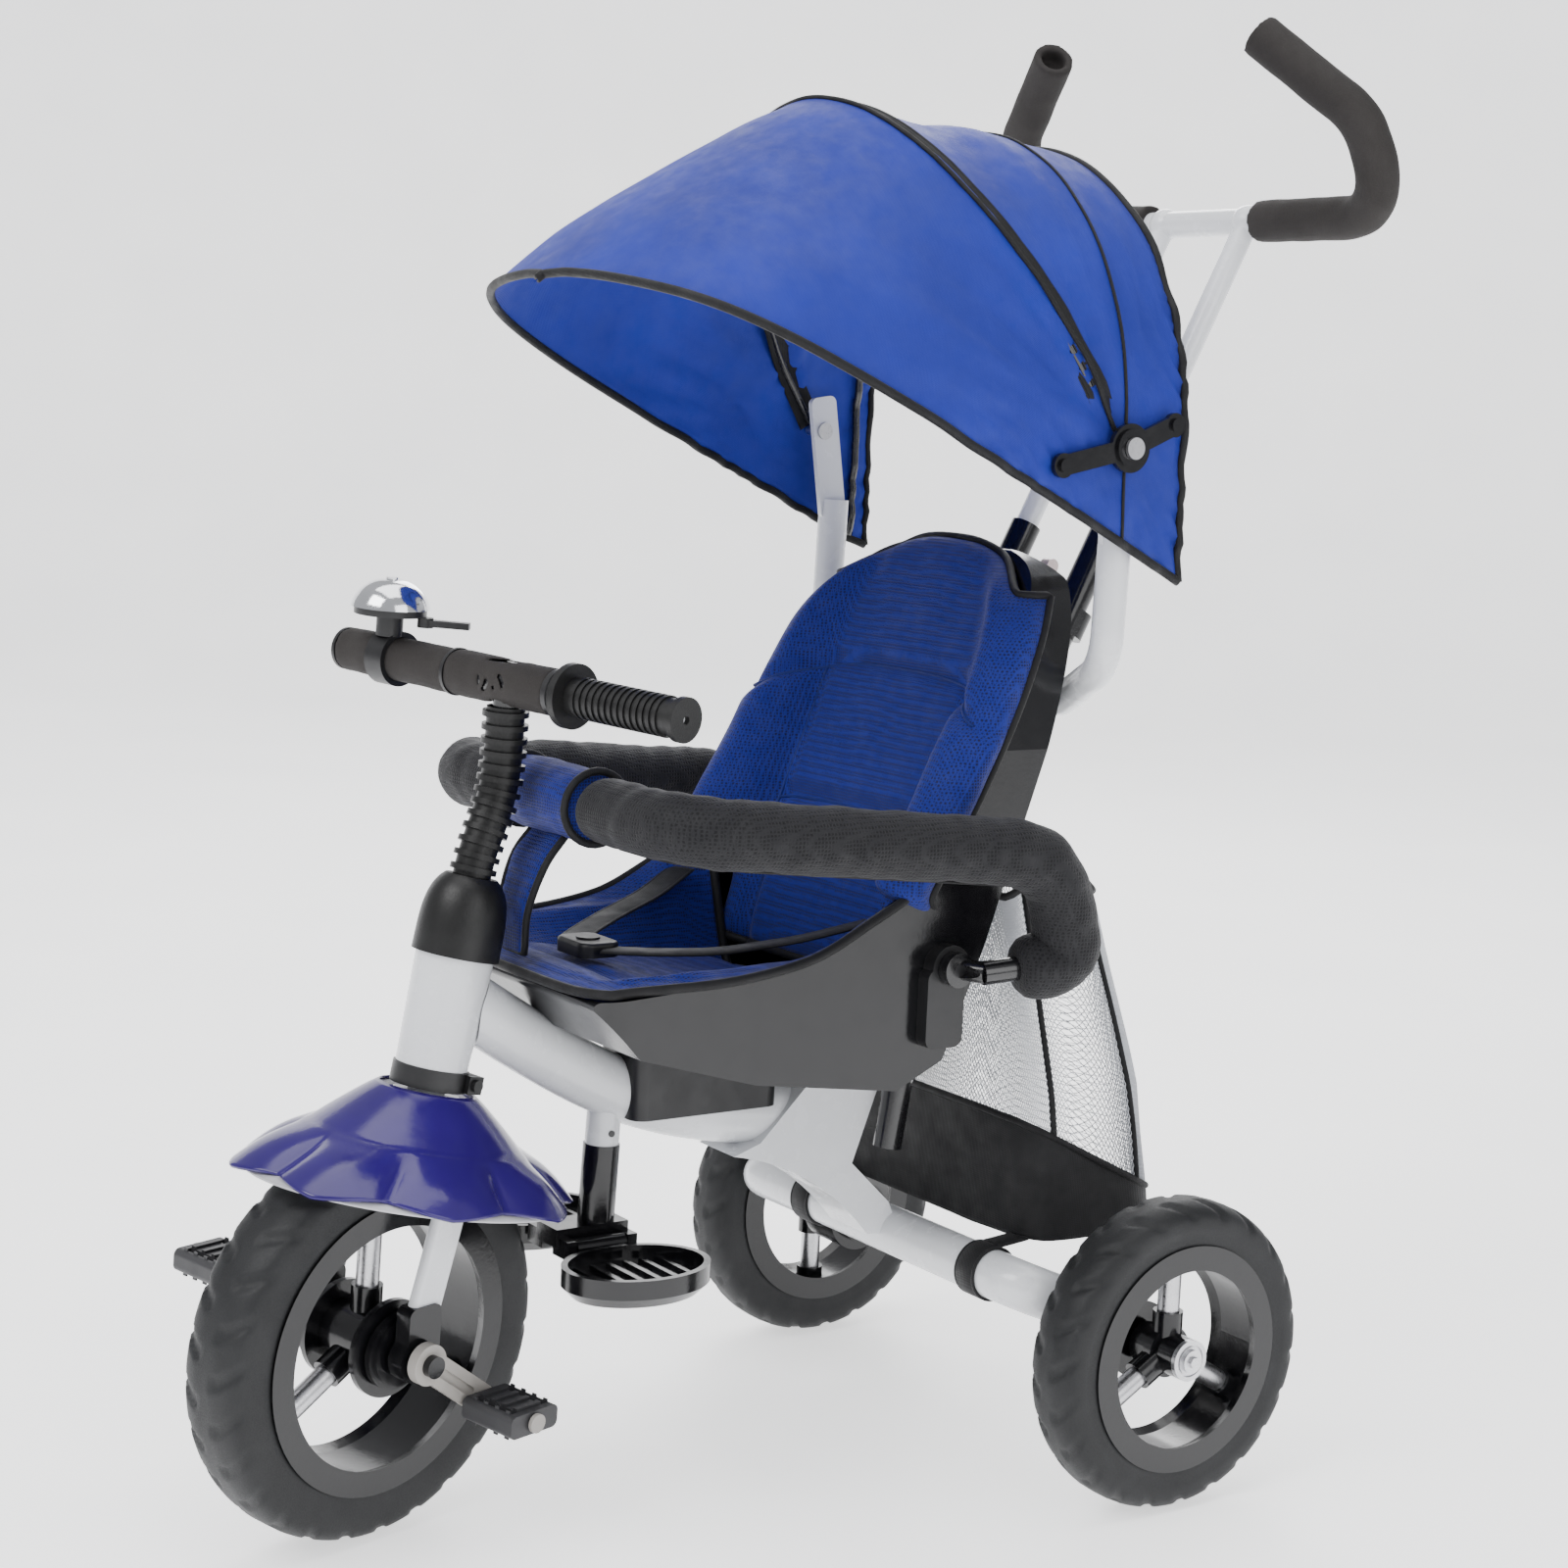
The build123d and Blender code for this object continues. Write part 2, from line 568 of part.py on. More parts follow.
# ---- main frame ---------------------------------------------------------------------------------
def main_frame():
    """Head tube, oval main tube, rear gusset and the U-shaped rear tube."""
    column_hole = ring(
        STEER_PLANE.from_local_coords(Vector(0, 0, -40)), STEER_DIRECTION, 12 + FIT, 0, HEAD_LENGTH + 80
    )
    with BuildPart() as head:
        with BuildSketch(STEER_PLANE):
            Circle(26.5)
        with BuildSketch(STEER_PLANE.offset(HEAD_LENGTH)):
            Circle(28.5)
        loft()
        add(column_hole, mode=Mode.SUBTRACT)
    save(head.part, "head_tube")
    head_room = ring(HEAD_BOTTOM - STEER_DIRECTION * 5, STEER_DIRECTION, 28.5, 0, HEAD_LENGTH + 10)
    with BuildPart() as main:
        with BuildLine() as path:
            Spline(*MAIN_PATH)
        with BuildSketch(Plane(origin=path.line @ 0, x_dir=(1, 0, 0), z_dir=path.line % 0)):
            Ellipse(MAIN_WIDTH / 2, MAIN_HEIGHT / 2)
        sweep(path=path.line)
        add(head_room, mode=Mode.SUBTRACT)
    rear = bent(
        [
            (-LEG_X, 8, REAR_RADIUS + 4),
            (-LEG_X, CROSS_Y, CROSS_Z),
            (LEG_X, CROSS_Y, CROSS_Z),
            (LEG_X, 8, REAR_RADIUS + 4),
        ],
        CROSS_RADIUS,
        26,
    )
    save(rear - rear_carriers(), "rear_tube")
    with BuildPart() as gusset:
        with BuildSketch(Plane.YZ):
            with BuildLine():
                Line((-238, 258), (-196, 300))
                ThreePointArc((-196, 300), (-152, 301), (-119, 316))
                Line((-119, 316), (-150, 232))
                Line((-150, 232), (-112, 196))
                Line((-112, 196), (-100, 169))
                Line((-100, 169), (-132, 172))
                ThreePointArc((-132, 172), (-196, 226), (-262, 250))
                Line((-262, 250), (-238, 258))
            make_face()
        extrude(amount=25, both=True)
        add(main.part)
        add(ring(STUB_FOOT, STUB_UP, 13, 8, 34))
        add(head_room, mode=Mode.SUBTRACT)
        add(rear, mode=Mode.SUBTRACT)
        add(across(STUB_FOOT + STUB_UP * 10, 14, 2.5), mode=Mode.SUBTRACT)
    backbone = gusset.part.solids().sort_by(SortBy.VOLUME)[-1]
    save(backbone, "main_tube")
    return backbone, rear


def rear_carriers():
    """Black housings at the ends of the rear tube, each with its fixed axle stub."""
    with BuildPart() as housings:
        for side in (1, -1):
            start = Vector(side * CARRIER_X[0], 0, REAR_RADIUS)
            add(ring(start, (side, 0, 0), 30, 0, CARRIER_X[1] - CARRIER_X[0]))
            add(ring(start - Vector(side * 8, 0, 0), (side, 0, 0), 22, 0, 8))
            add(ring(start, (side, 0, 0), 6, 0, TRACK_HALF + 22 - CARRIER_X[0]))
    save(housings.part, "rear_axles")
    return housings.part


def back_posts(backbone):
    """Two lower handle tubes rising behind the seat, bored for the sliding stems."""
    straight_length = 175
    with BuildPart() as posts:
        for side in (-1, 1):
            foot = Vector(side * STEM_X, STEM_FOOT_Y, STEM_FOOT_Z)
            knee = foot - STEM_UP * straight_length
            lower = (side * 38, -108, 370)
            route = [knee + STEM_UP * 10, knee - STEM_UP * 20, lower, (side * 38, -126, 246)]
            add(bent(route, POST_RADIUS, 12))
            add(ring(knee, STEM_UP, POST_RADIUS, 0, straight_length))
            add(ring(knee, STEM_UP, STEM_RADIUS + FIT, 0, straight_length), mode=Mode.SUBTRACT)
        add(backbone, mode=Mode.SUBTRACT)
    save(posts.part, "back_posts")
    low = STEM_UP * 34
    plane = Plane(origin=Vector(0, STEM_FOOT_Y, STEM_FOOT_Z) + low, x_dir=(1, 0, 0), z_dir=STEM_UP)
    with BuildPart() as sleeves:
        with BuildSketch(plane):
            RectangleRounded(2 * STEM_X + 34, 32, 12)
        extrude(amount=22)
        for side in (-1, 1):
            foot = Vector(side * STEM_X, STEM_FOOT_Y, STEM_FOOT_Z) + STEM_UP * 0.05
            add(ring(foot, STEM_UP, SLEEVE_RADIUS, 0, SLEEVE_LENGTH))
        for side in (-1, 1):
            foot = Vector(side * STEM_X, STEM_FOOT_Y, STEM_FOOT_Z)
            add(ring(foot, STEM_UP, STEM_RADIUS + FIT, 0, SLEEVE_LENGTH + 1), mode=Mode.SUBTRACT)
        pivot = clamp_lever_pivot()
        with Locations(Plane(origin=pivot + Vector(11, 0, 0), x_dir=(1, 0, 0), z_dir=STEM_UP)):
            Box(10, 24, 12)
        add(ring(pivot + Vector(11, 0, 0), (-1, 0, 0), 3, 0, 19))
        add(ring(pivot - Vector(5.5, 0, 0), (-1, 0, 0), 5, 0, 2.5))
    save(sleeves.part, "handle_clamp")
    return posts.part


def hood_frame():
    """Bent tube behind the seat that carries the hood, with flat plates at its tops."""
    cross = [
        (UPRIGHT_X, -50, 745),
        (UPRIGHT_X, -53, 640),
        (96, -22, 604),
        (-96, -22, 604),
        (-UPRIGHT_X, -53, 640),
        (-UPRIGHT_X, -50, 745),
    ]
    bar = bent(cross, 12.5, 36)
    plate_length = 102
    with BuildPart() as frame:
        add(bar)
        for side in (-1, 1):
            low = Vector(side * (UPRIGHT_X - 2.5), -51, 730)
            high = Vector(side * (UPRIGHT_X - 2.5), HOOD_PIVOT.Y - 2, HOOD_PIVOT.Z + 28)
            face = Plane(origin=(low + high) / 2, x_dir=(high - low).normalized(), z_dir=(1, 0, 0))
            with BuildSketch(face):
                RectangleRounded(plate_length, 25, 6)
            extrude(amount=5 * side)
        for side in (-1, 1):
            foot = Vector(side * STEM_X, STEM_FOOT_Y, STEM_FOOT_Z) - STEM_UP * 60
            add(ring(foot, STEM_UP, POST_RADIUS, 0, 60.03), mode=Mode.SUBTRACT)
            add(ring(foot + STEM_UP * 60.03, STEM_UP, SLEEVE_RADIUS, 0, 140), mode=Mode.SUBTRACT)
        add(across(HOOD_PIVOT, 230, 4), mode=Mode.SUBTRACT)
    save(frame.part, "hood_frame")
    with BuildPart() as bolts:
        for side in (-1, 1):
            plate = Vector(side * (UPRIGHT_X - 2.5), 0, 0)
            out = (side, 0, 0)
            add(ring(HOOD_PIVOT + plate - Vector(side * 3, 0, 0), out, 4, 0, 38))
            add(ring(HOOD_PIVOT + plate - Vector(side * 3, 0, 0), out, 7, 0, 3))
            add(ring(HOOD_PIVOT + Vector(side * 213, 0, 0), out, 8, 0, 3))
    save(bolts.part, "hood_pivot_bolts")
    return frame.part


# ---- hood ---------------------------------------------------------------------------------------
def hood_form(inset):
    """The hood's filled outer form, drawn in by inset on every side but the open ones."""
    with BuildPart() as form:
        for y, half_width, spring, rise in HOOD_ARCHES:
            with BuildSketch(Plane(origin=(0, y, 0), x_dir=(1, 0, 0), z_dir=(0, -1, 0))):
                with BuildLine():
                    Line((-half_width + inset, 690), (half_width - inset, 690))
                    Line((half_width - inset, 690), (half_width - inset, spring))
                    EllipticalCenterArc(
                        (0, spring),
                        x_radius=half_width - inset,
                        y_radius=rise - inset,
                        start_angle=0,
                        arc_size=180,
                    )
                    Line((-half_width + inset, spring), (-half_width + inset, 690))
                make_face()
        loft()
    return form.part


def hood():
    """Hood skin, its wire hoops and the hinge brackets on both sides."""
    low = -560.0
    with BuildPart() as under:
        with BuildSketch(Plane.YZ):
            with BuildLine():
                Polyline(
                    (60, 600),
                    (60, HOOD_EDGE_REAR - HOOD_EDGE_SLOPE * 60),
                    (low, HOOD_EDGE_REAR - HOOD_EDGE_SLOPE * low),
                    (low, 600),
                    close=True,
                )
            make_face()
        extrude(amount=300, both=True)
    skin = hood_form(0) - hood_form(HOOD_SKIN) - under.part - across(HOOD_PIVOT, 240, 4 + FIT)
    save(skin.solids().sort_by(SortBy.VOLUME)[-1], "hood_skin")
    lean = radians(32)
    hoop_plane = Plane(origin=HOOD_PIVOT, x_dir=(1, 0, 0), z_dir=(0, -cos(lean), -sin(lean)))
    with BuildPart() as hoop:
        with BuildLine(hoop_plane) as arc:
            EllipticalCenterArc((0, 0), x_radius=192, y_radius=272, start_angle=11, arc_size=158)
        with BuildSketch(Plane(origin=arc.line @ 0, z_dir=arc.line % 0)):
            Circle(2.5)
        sweep(path=arc.line)
    edge_angle = degrees(atan2(HOOD_EDGE_SLOPE, 1))
    front_plane = Plane(
        origin=(0, 0, HOOD_EDGE_REAR + 12),
        x_dir=(1, 0, 0),
        z_dir=(0, sin(radians(edge_angle)), cos(radians(edge_angle))),
    )
    reach = -468.0
    with BuildPart() as brim:
        with BuildLine(front_plane) as edge:
            FilletPolyline((192, -150), (186, reach), (-186, reach), (-192, -150), radius=112)
        with BuildSketch(Plane(origin=edge.line @ 0, z_dir=edge.line % 0)):
            Circle(2.5)
        sweep(path=edge.line)
    rear_wire = bent([(-188, -40, 812), (-176, 62, 812), (176, 62, 812), (188, -40, 812)], 2.5, 60)
    save(hoop.part + brim.part + rear_wire, "hood_hoops")
    front = (HOOD_PIVOT.Y - 62, HOOD_PIVOT.Z - 14)
    rear = (HOOD_PIVOT.Y + 42, HOOD_PIVOT.Z + 18)
    centre = (HOOD_PIVOT.Y, HOOD_PIVOT.Z)
    with BuildPart() as brackets:
        for side in (1, -1):
            face = Plane(origin=(side * 206, 0, 0), x_dir=(0, 1, 0), z_dir=(1, 0, 0))
            with BuildSketch(face):
                with BuildLine():
                    arms = Polyline(front, centre, rear)
                trace(arms, line_width=15)
                with Locations(front, rear):
                    Circle(9)
                with Locations(centre):
                    Circle(18)
            extrude(amount=4 * side)
            with BuildSketch(face.offset(4 * side)):
                with Locations(centre):
                    Circle(14)
            extrude(amount=2.5 * side)
        add(across(HOOD_PIVOT, 240, 4 + FIT), mode=Mode.SUBTRACT)
        for spot in (front, rear):
            add(across(Vector(0, *spot), 240, 2.5), mode=Mode.SUBTRACT)
    save(brackets.part, "hood_brackets")
    with BuildPart() as rivets:
        for side in (-1, 1):
            for spot in (front, rear):
                start = Vector(side * 205.5, *spot)
                add(ring(start, (side, 0, 0), 2.5, 0, 4.5))
                add(ring(start + Vector(side * 4.5, 0, 0), (side, 0, 0), 5, 0, 2.5))
    save(rivets.part, "hood_rivets")


# ---- push handle --------------------------------------------------------------------------------
def push_handle():
    """Two sliding stems welded to a crossbar, and the curled foam grips on its ends."""
    crown = Vector(0, STEM_FOOT_Y, STEM_FOOT_Z) + STEM_UP * HANDLE_TOP
    bar_half = 66
    with BuildPart() as stems:
        for side in (-1, 1):
            foot = Vector(side * STEM_X, STEM_FOOT_Y, STEM_FOOT_Z) - STEM_UP * STEM_INSERT
            add(ring(foot, STEM_UP, STEM_RADIUS, 0, STEM_INSERT + HANDLE_TOP))
        add(across(crown, bar_half, 11))
        for side in (-1, 1):
            with Locations(Pos(*(crown + Vector(side * STEM_X, 0, 0)))):
                Sphere(13.5)
    save(stems.part, "handle_stems")
    grip_plane = Plane(origin=crown, x_dir=(1, 0, 0), z_dir=(0, -0.889, -0.458))
    with BuildPart() as grips:
        for side in (1, -1):
            with BuildLine(grip_plane) as path:
                corners = [(bar_half, 0), (205, 0), (209, 78), (124, 152)]
                FilletPolyline(*[(side * x, y) for x, y in corners], radius=44)
            with BuildSketch(Plane(origin=path.line @ 0, z_dir=path.line % 0)):
                Circle(17)
            sweep(path=path.line)
            with BuildSketch(Plane(origin=path.line @ 1, z_dir=path.line % 1)):
                Circle(10.5)
            extrude(amount=-14, mode=Mode.SUBTRACT)
    save(grips.part, "handle_grips")


def clamp_lever():
    """Quick-release lever of the sleeve clamp, on the right."""
    with BuildPart() as lever:
        with BuildSketch(Plane(origin=clamp_lever_pivot(), x_dir=STEM_UP, z_dir=(1, 0, 0))):
            with Locations((28, 0)):
                SlotCenterToCenter(56, 12)
        extrude(amount=5, both=True)
        add(ring(clamp_lever_pivot() - Vector(8, 0, 0), (1, 0, 0), 3 + FIT, 0, 16), mode=Mode.SUBTRACT)
    save(lever.part, "handle_clamp_lever")


def clamp_lever_pivot():
    """Hinge point of the quick-release lever, just behind the clamp block."""
    return Vector(-30, STEM_FOOT_Y, STEM_FOOT_Z) + STEM_UP * 45 + Vector(0, 0.885, -0.465) * 24


# ---- seat ---------------------------------------------------------------------------------------
def plan_outline(half, front, rear):
    """Plan view of the seat, narrowing to a rounded front."""
    shoulder = -330
    with BuildSketch(Plane.XY.offset(250)) as plan:
        with BuildLine():
            FilletPolyline(
                (half, rear),
                (half, shoulder),
                (half - 22, front),
                (-half + 22, front),
                (-half, shoulder),
                (-half, rear),
                close=True,
                radius=34,
            )
        make_face()
    return plan.sketch


def back_outline(half, foot, top):
    """Rear view of the seat back, with a rounded and narrower top."""
    with BuildSketch(Plane.XZ.offset(-100)) as view:
        with BuildLine():
            Line((-half, foot), (half, foot))
            Line((half, foot), (half, 470))
            Spline(
                (half, 470),
                (half - 6, 620),
                (half - 42, top - 22),
                (0, top),
                (-half + 42, top - 22),
                (-half + 6, 620),
                (-half, 470),
            )
            Line((-half, 470), (-half, foot))
        make_face()
    return view.sketch


def seat_solid(profile, half, front, rear, top):
    """A side profile given full width, then trimmed to the plan and rear outlines."""
    with BuildPart() as body:
        with BuildSketch(Plane.YZ):
            with BuildLine():
                FilletPolyline(*profile, close=True, radius=5)
            make_face()
        extrude(amount=half + 20, both=True)
        plan = extrude(plan_outline(half, front, rear), amount=600, mode=Mode.PRIVATE)
        add(plan, mode=Mode.INTERSECT)
        view = extrude(back_outline(half, 250, top), amount=700, both=True, mode=Mode.PRIVATE)
        add(view, mode=Mode.INTERSECT)
    return body.part


# side profiles as (distance along Y, height), the outer skin first, then the hollow inside it
SHELL_OUTER = [
    (-452, 404),
    (-418, 364),
    (-330, 341),
    (-205, 324),
    (-163, 344),
    (-128, 430),
    (-80, 568),
    (-34, 700),
    (-52, 722),
    (-98, 660),
    (-150, 560),
    (-196, 474),
    (-290, 424),
    (-400, 410),
]
SHELL_INNER = [
    (-470, 430),
    (-446, 404),
    (-413, 370),
    (-328, 348),
    (-206, 331),
    (-170, 350),
    (-135, 432),
    (-87, 570),
    (-41, 702),
    (-60, 760),
    (-300, 760),
    (-470, 520),
]
CUSHION_SIDE = [
    (-444, 404),
    (-410, 371),
    (-328, 349.5),
    (-207, 332.5),
    (-192, 344),
    (-196, 376),
    (-330, 392),
    (-430, 412),
]
BACK_SIDE = [
    (-188, 352),
    (-171, 352),
    (-136, 433),
    (-88, 571),
    (-43, 701),
    (-60, 722),
    (-84, 712),
    (-126, 590),
    (-176, 470),
    (-194, 390),
]


def seat(backbone, posts, hood_bar):
    """Moulded bucket shell, its brackets, and the two fabric cushions."""
    shell = seat_solid(SHELL_OUTER, SEAT_HALF, -452, 60, 722)
    hollow = seat_solid(SHELL_INNER, SEAT_HALF - SHELL_WALL, -446, 61, 716)
    save(shell - hollow - backbone, "seat_shell")
    save(seat_solid(CUSHION_SIDE, SEAT_HALF - 12, -444, 60, 716) & hollow, "seat_cushion")
    save(seat_solid(BACK_SIDE, SEAT_HALF - 8, -446, 61, 714) & hollow, "back_cushion")
    with BuildPart() as rail:
        with BuildSketch(Plane.XY.offset(288)):
            with Locations((0, -290)):
                RectangleRounded(60, 130, 12)
        extrude(amount=54)
        add(backbone, mode=Mode.SUBTRACT)
        add(shell, mode=Mode.SUBTRACT)
    saddle = rail.part.solids().sort_by(SortBy.VOLUME)[-1]
    with BuildPart() as stay:
        with BuildSketch(Plane.XY.offset(560)):
            with Locations((0, -42)):
                Rectangle(2 * STEM_X, 44)
        extrude(amount=40)
        add(shell, mode=Mode.SUBTRACT)
        add(posts, mode=Mode.SUBTRACT)
        for side in (-1, 1):
            foot = Vector(side * STEM_X, STEM_FOOT_Y, STEM_FOOT_Z) - STEM_UP * 175
            add(ring(foot, STEM_UP, POST_RADIUS, 0, 175), mode=Mode.SUBTRACT)
        add(hood_bar, mode=Mode.SUBTRACT)
    middle = stay.part.solids().sort_by(SortBy.VOLUME)[-1]
    with BuildPart() as hinges:
        for side in (-1, 1):
            with BuildSketch(Plane.YZ.offset(side * SEAT_HALF)):
                with Locations((GUARD_PIVOT.Y, GUARD_PIVOT.Z)):
                    Circle(17)
                with Locations((GUARD_PIVOT.Y - 4, GUARD_PIVOT.Z - 30)):
                    RectangleRounded(34, 60, 8)
            extrude(amount=side * 12)
        add(across(GUARD_PIVOT, GUARD_EYE_X + 5, 5))
        add(across(GUARD_PIVOT, SEAT_HALF, 6), mode=Mode.SUBTRACT)
    save(saddle + middle + hinges.part, "seat_brackets")


# ---- guard bar and belt -------------------------------------------------------------------------
GUARD_PIVOT = Vector(0, -168, 416)
GUARD_EYE_X = 167.5  # centre plane of the eye at each end of the guard tube
GUARD_FRONT = Vector(0, -412, 531)


def guard_bar(radius):
    """The guard loop: level across the lap, back past the seat and curled down to its eyes."""
    half = [(186, -158, 416), (206, -92, 424), (212, -118, 506), (176, GUARD_FRONT.Y, GUARD_FRONT.Z)]
    mirrored = [(-x, y, z) for x, y, z in reversed(half)]
    return bent(half + mirrored, radius, 32)


def guard():
    """Padded guard bar on two hinge eyes, its middle wrap, and the strap between the legs."""
    core = guard_bar(9)
    with BuildPart() as eyes:
        for side in (-1, 1):
            add(ring(GUARD_PIVOT + Vector(side * (GUARD_EYE_X - 5), 0, 0), (side, 0, 0), 13, 0, 10))
            add(ring(GUARD_PIVOT + Vector(side * GUARD_EYE_X, 4, 0), (side, 0.45, 0), 8, 0, 22))
        add(across(GUARD_PIVOT, 200, 5 + FIT), mode=Mode.SUBTRACT)
    save(core + eyes.part, "guard_tube")
    middle = Pos(*GUARD_FRONT) * Box(108, 120, 120)
    ends = Pos(*GUARD_PIVOT) * Box(420, 64, 60)
    pads = guard_bar(25) - core - middle - ends - eyes.part
    save(without_crumbs(pads), "guard_pads")
    wrap = ring(GUARD_FRONT - Vector(53.7, 0, 0), (1, 0, 0), 27.5, 9, 107.4)
    save(wrap, "guard_wrap")
    stations = [(-424, 520, 23), (-437, 488, 23), (-447, 450, 19), (-446, 420, 15)]
    with BuildPart() as strap:
        for y, z, half_width in stations:
            with BuildSketch(Plane(origin=(0, y, z), x_dir=(1, 0, 0), z_dir=(0, 0.1, 1))):
                RectangleRounded(2 * half_width, 7, 3)
        loft()
        add(ring(GUARD_FRONT - Vector(60, 0, 0), (1, 0, 0), 27.5, 0, 120), mode=Mode.SUBTRACT)
    save(strap.part, "crotch_strap")


def belt():
    """Lap belt buckle resting just above the seat cushion."""
    with BuildPart() as buckle:
        with BuildSketch(Plane.XY.offset(414)):
            with Locations((0, -384)):
                RectangleRounded(46, 34, 10)
        extrude(amount=11)
        fillet(buckle.edges().group_by(Axis.Z)[-1], 3)
        with Locations((0, -384, 425)):
            Cylinder(9, 3)
    save(buckle.part, "belt_buckle")
    return buckle.part


# ---- storage bag --------------------------------------------------------------------------------
def bag_form(inset, floor, rim):
    """The bag's filled outer form: a tapering box with rounded corners."""
    stations = [(188, 160, -74, 66), (300, 132, -66, 62), (460, 76, -54, 46)]
    with BuildPart() as form:
        for z, half_width, front, rear in stations:
            height = floor if z == 188 else (rim if z == 460 else z)
            with BuildSketch(Plane.XY.offset(height)):
                with Locations((0, (front + rear) / 2)):
                    RectangleRounded(2 * (half_width - inset), rear - front - 2 * inset, 22)
        loft()
    return form.part


def bag():
    """Open net bag behind the seat with a plain lower panel."""
    filled = bag_form(0, 188, 460)
    wall = filled - bag_form(2.5, 190.5, 460.5)
    with BuildPart() as low:
        with BuildSketch(Plane.YZ):
            with BuildLine():
                Polyline((-90, 180), (-90, 292), (80, 206), (80, 180), close=True)
            make_face()
        extrude(amount=180, both=True)
    save(wall & low.part, "bag_panel")
    save(wall - low.part, "bag_net")
    return filled


def webbing(filled_bag, backbone, posts, rear, buckle):
    """Flat straps: the lap belt, and the loops that hang the bag on the frame."""
    with BuildPart() as straps:
        for side in (-1, 1):
            belt_run = [(side * 23.5, -384, 419), (side * 78, -322, 424), (side * 126, -222, 448)]
            add(ribbon(belt_run, (0.84 * side, -0.54, 0), 24, 2))
            loop = Vector(side * STEM_X, STEM_FOOT_Y, STEM_FOOT_Z) - STEM_UP * 160
            add(ring(loop, STEM_UP, 14, POST_RADIUS, 22))
            with Locations(Pos(side * STEM_X, -61, 456)):
                Box(20, 7, 66)
        for x in (-87, 136):
            add(ring((x - 12, CROSS_Y, CROSS_Z), (1, 0, 0), 21.5, CROSS_RADIUS, 24))
            with Locations(Pos(x, -80, 188)):
                Box(20, 28, 4)
        add(filled_bag, mode=Mode.SUBTRACT)
        add(backbone, mode=Mode.SUBTRACT)
        add(posts, mode=Mode.SUBTRACT)
        add(rear, mode=Mode.SUBTRACT)
        add(buckle, mode=Mode.SUBTRACT)
    save(without_crumbs(straps.part), "webbing")


# ---- footrest -----------------------------------------------------------------------------------
REST_HINGE_X = 24.0
REST_HINGE_Y = -380.0
REST_HINGE_Z = 196.0


def footrest():
    """Black post under the main tube with two ribbed foot dishes that fold upwards."""
    with BuildPart() as post:
        add(ring(STUB_FOOT - STUB_UP * 59, STUB_UP, 14, 0, 59))
        add(ring(STUB_FOOT, STUB_UP, 8, 0, 14))
        add(across(STUB_FOOT + STUB_UP * 10, 14, 2.5))
        with Locations((0, REST_HINGE_Y, 202)):
            Box(30, 62, 14)
        for side in (-1, 1):
            for y in (-1, 1):
                with Locations((side * 19, REST_HINGE_Y + y * 26, REST_HINGE_Z)):
                    Box(22, 8, 14)
            start = Vector(side * REST_HINGE_X, REST_HINGE_Y - 30, REST_HINGE_Z)
            add(ring(start, (0, 1, 0), 3, 0, 60))
            knuckle = ring(start + Vector(0, 8.7, 0), (0, 1, 0), 7.5, 0, 42.6)
            add(knuckle, mode=Mode.SUBTRACT)
            add(ring(start, (0, 1, 0), 3, 0, 60))
    save(post.part, "footrest_post")
    for side, name in ((1, "left"), (-1, "right")):
        save(foot_dish(side), f"footrest_{name}")


def foot_dish(side):
    """One oval foot dish with ribs across its floor and a hinge knuckle."""
    centre = Vector(side * 78, REST_HINGE_Y, 0)
    hinge = Vector(side * REST_HINGE_X, REST_HINGE_Y, REST_HINGE_Z)
    with BuildPart() as dish:
        with BuildSketch(Plane(origin=(centre.X, centre.Y, 176))):
            Ellipse(45, 58)
        extrude(amount=22)
        chamfer(dish.edges().group_by(Axis.Z)[0], 8)
        with BuildSketch(Plane(origin=(centre.X, centre.Y, 188))):
            Ellipse(40, 53)
        extrude(amount=20, mode=Mode.SUBTRACT)
        with Locations((centre.X, centre.Y, 189)):
            with GridLocations(0, 14, 1, 6):
                Box(56, 4, 4)
        with Locations(Pos(*hinge)):
            Box(19, 140, 60, mode=Mode.SUBTRACT)
        add(ring(hinge - Vector(0, 21, 0), (0, 1, 0), 7, 0, 42))
        with Locations((side * (REST_HINGE_X + 8), hinge.Y, hinge.Z - 4)):
            Box(14, 42, 6)
        add(ring(hinge - Vector(0, 40, 0), (0, 1, 0), 3 + FIT, 0, 80), mode=Mode.SUBTRACT)
    return dish.part


if __name__ == "__main__":
    os.makedirs("parts", exist_ok=True)
    rear_wheels()
    front_wheel()
    steering_column()
    head_cap()
    fork()
    fender()
    handlebar()
    bell()
    backbone_part, rear_part = main_frame()
    posts_part = back_posts(backbone_part)
    hood_bar_part = hood_frame()
    hood()
    push_handle()
    clamp_lever()
    seat(backbone_part, posts_part, hood_bar_part)
    guard()
    buckle_part = belt()
    bag_part = bag()
    webbing(bag_part, backbone_part, posts_part, rear_part, buckle_part)
    footrest()
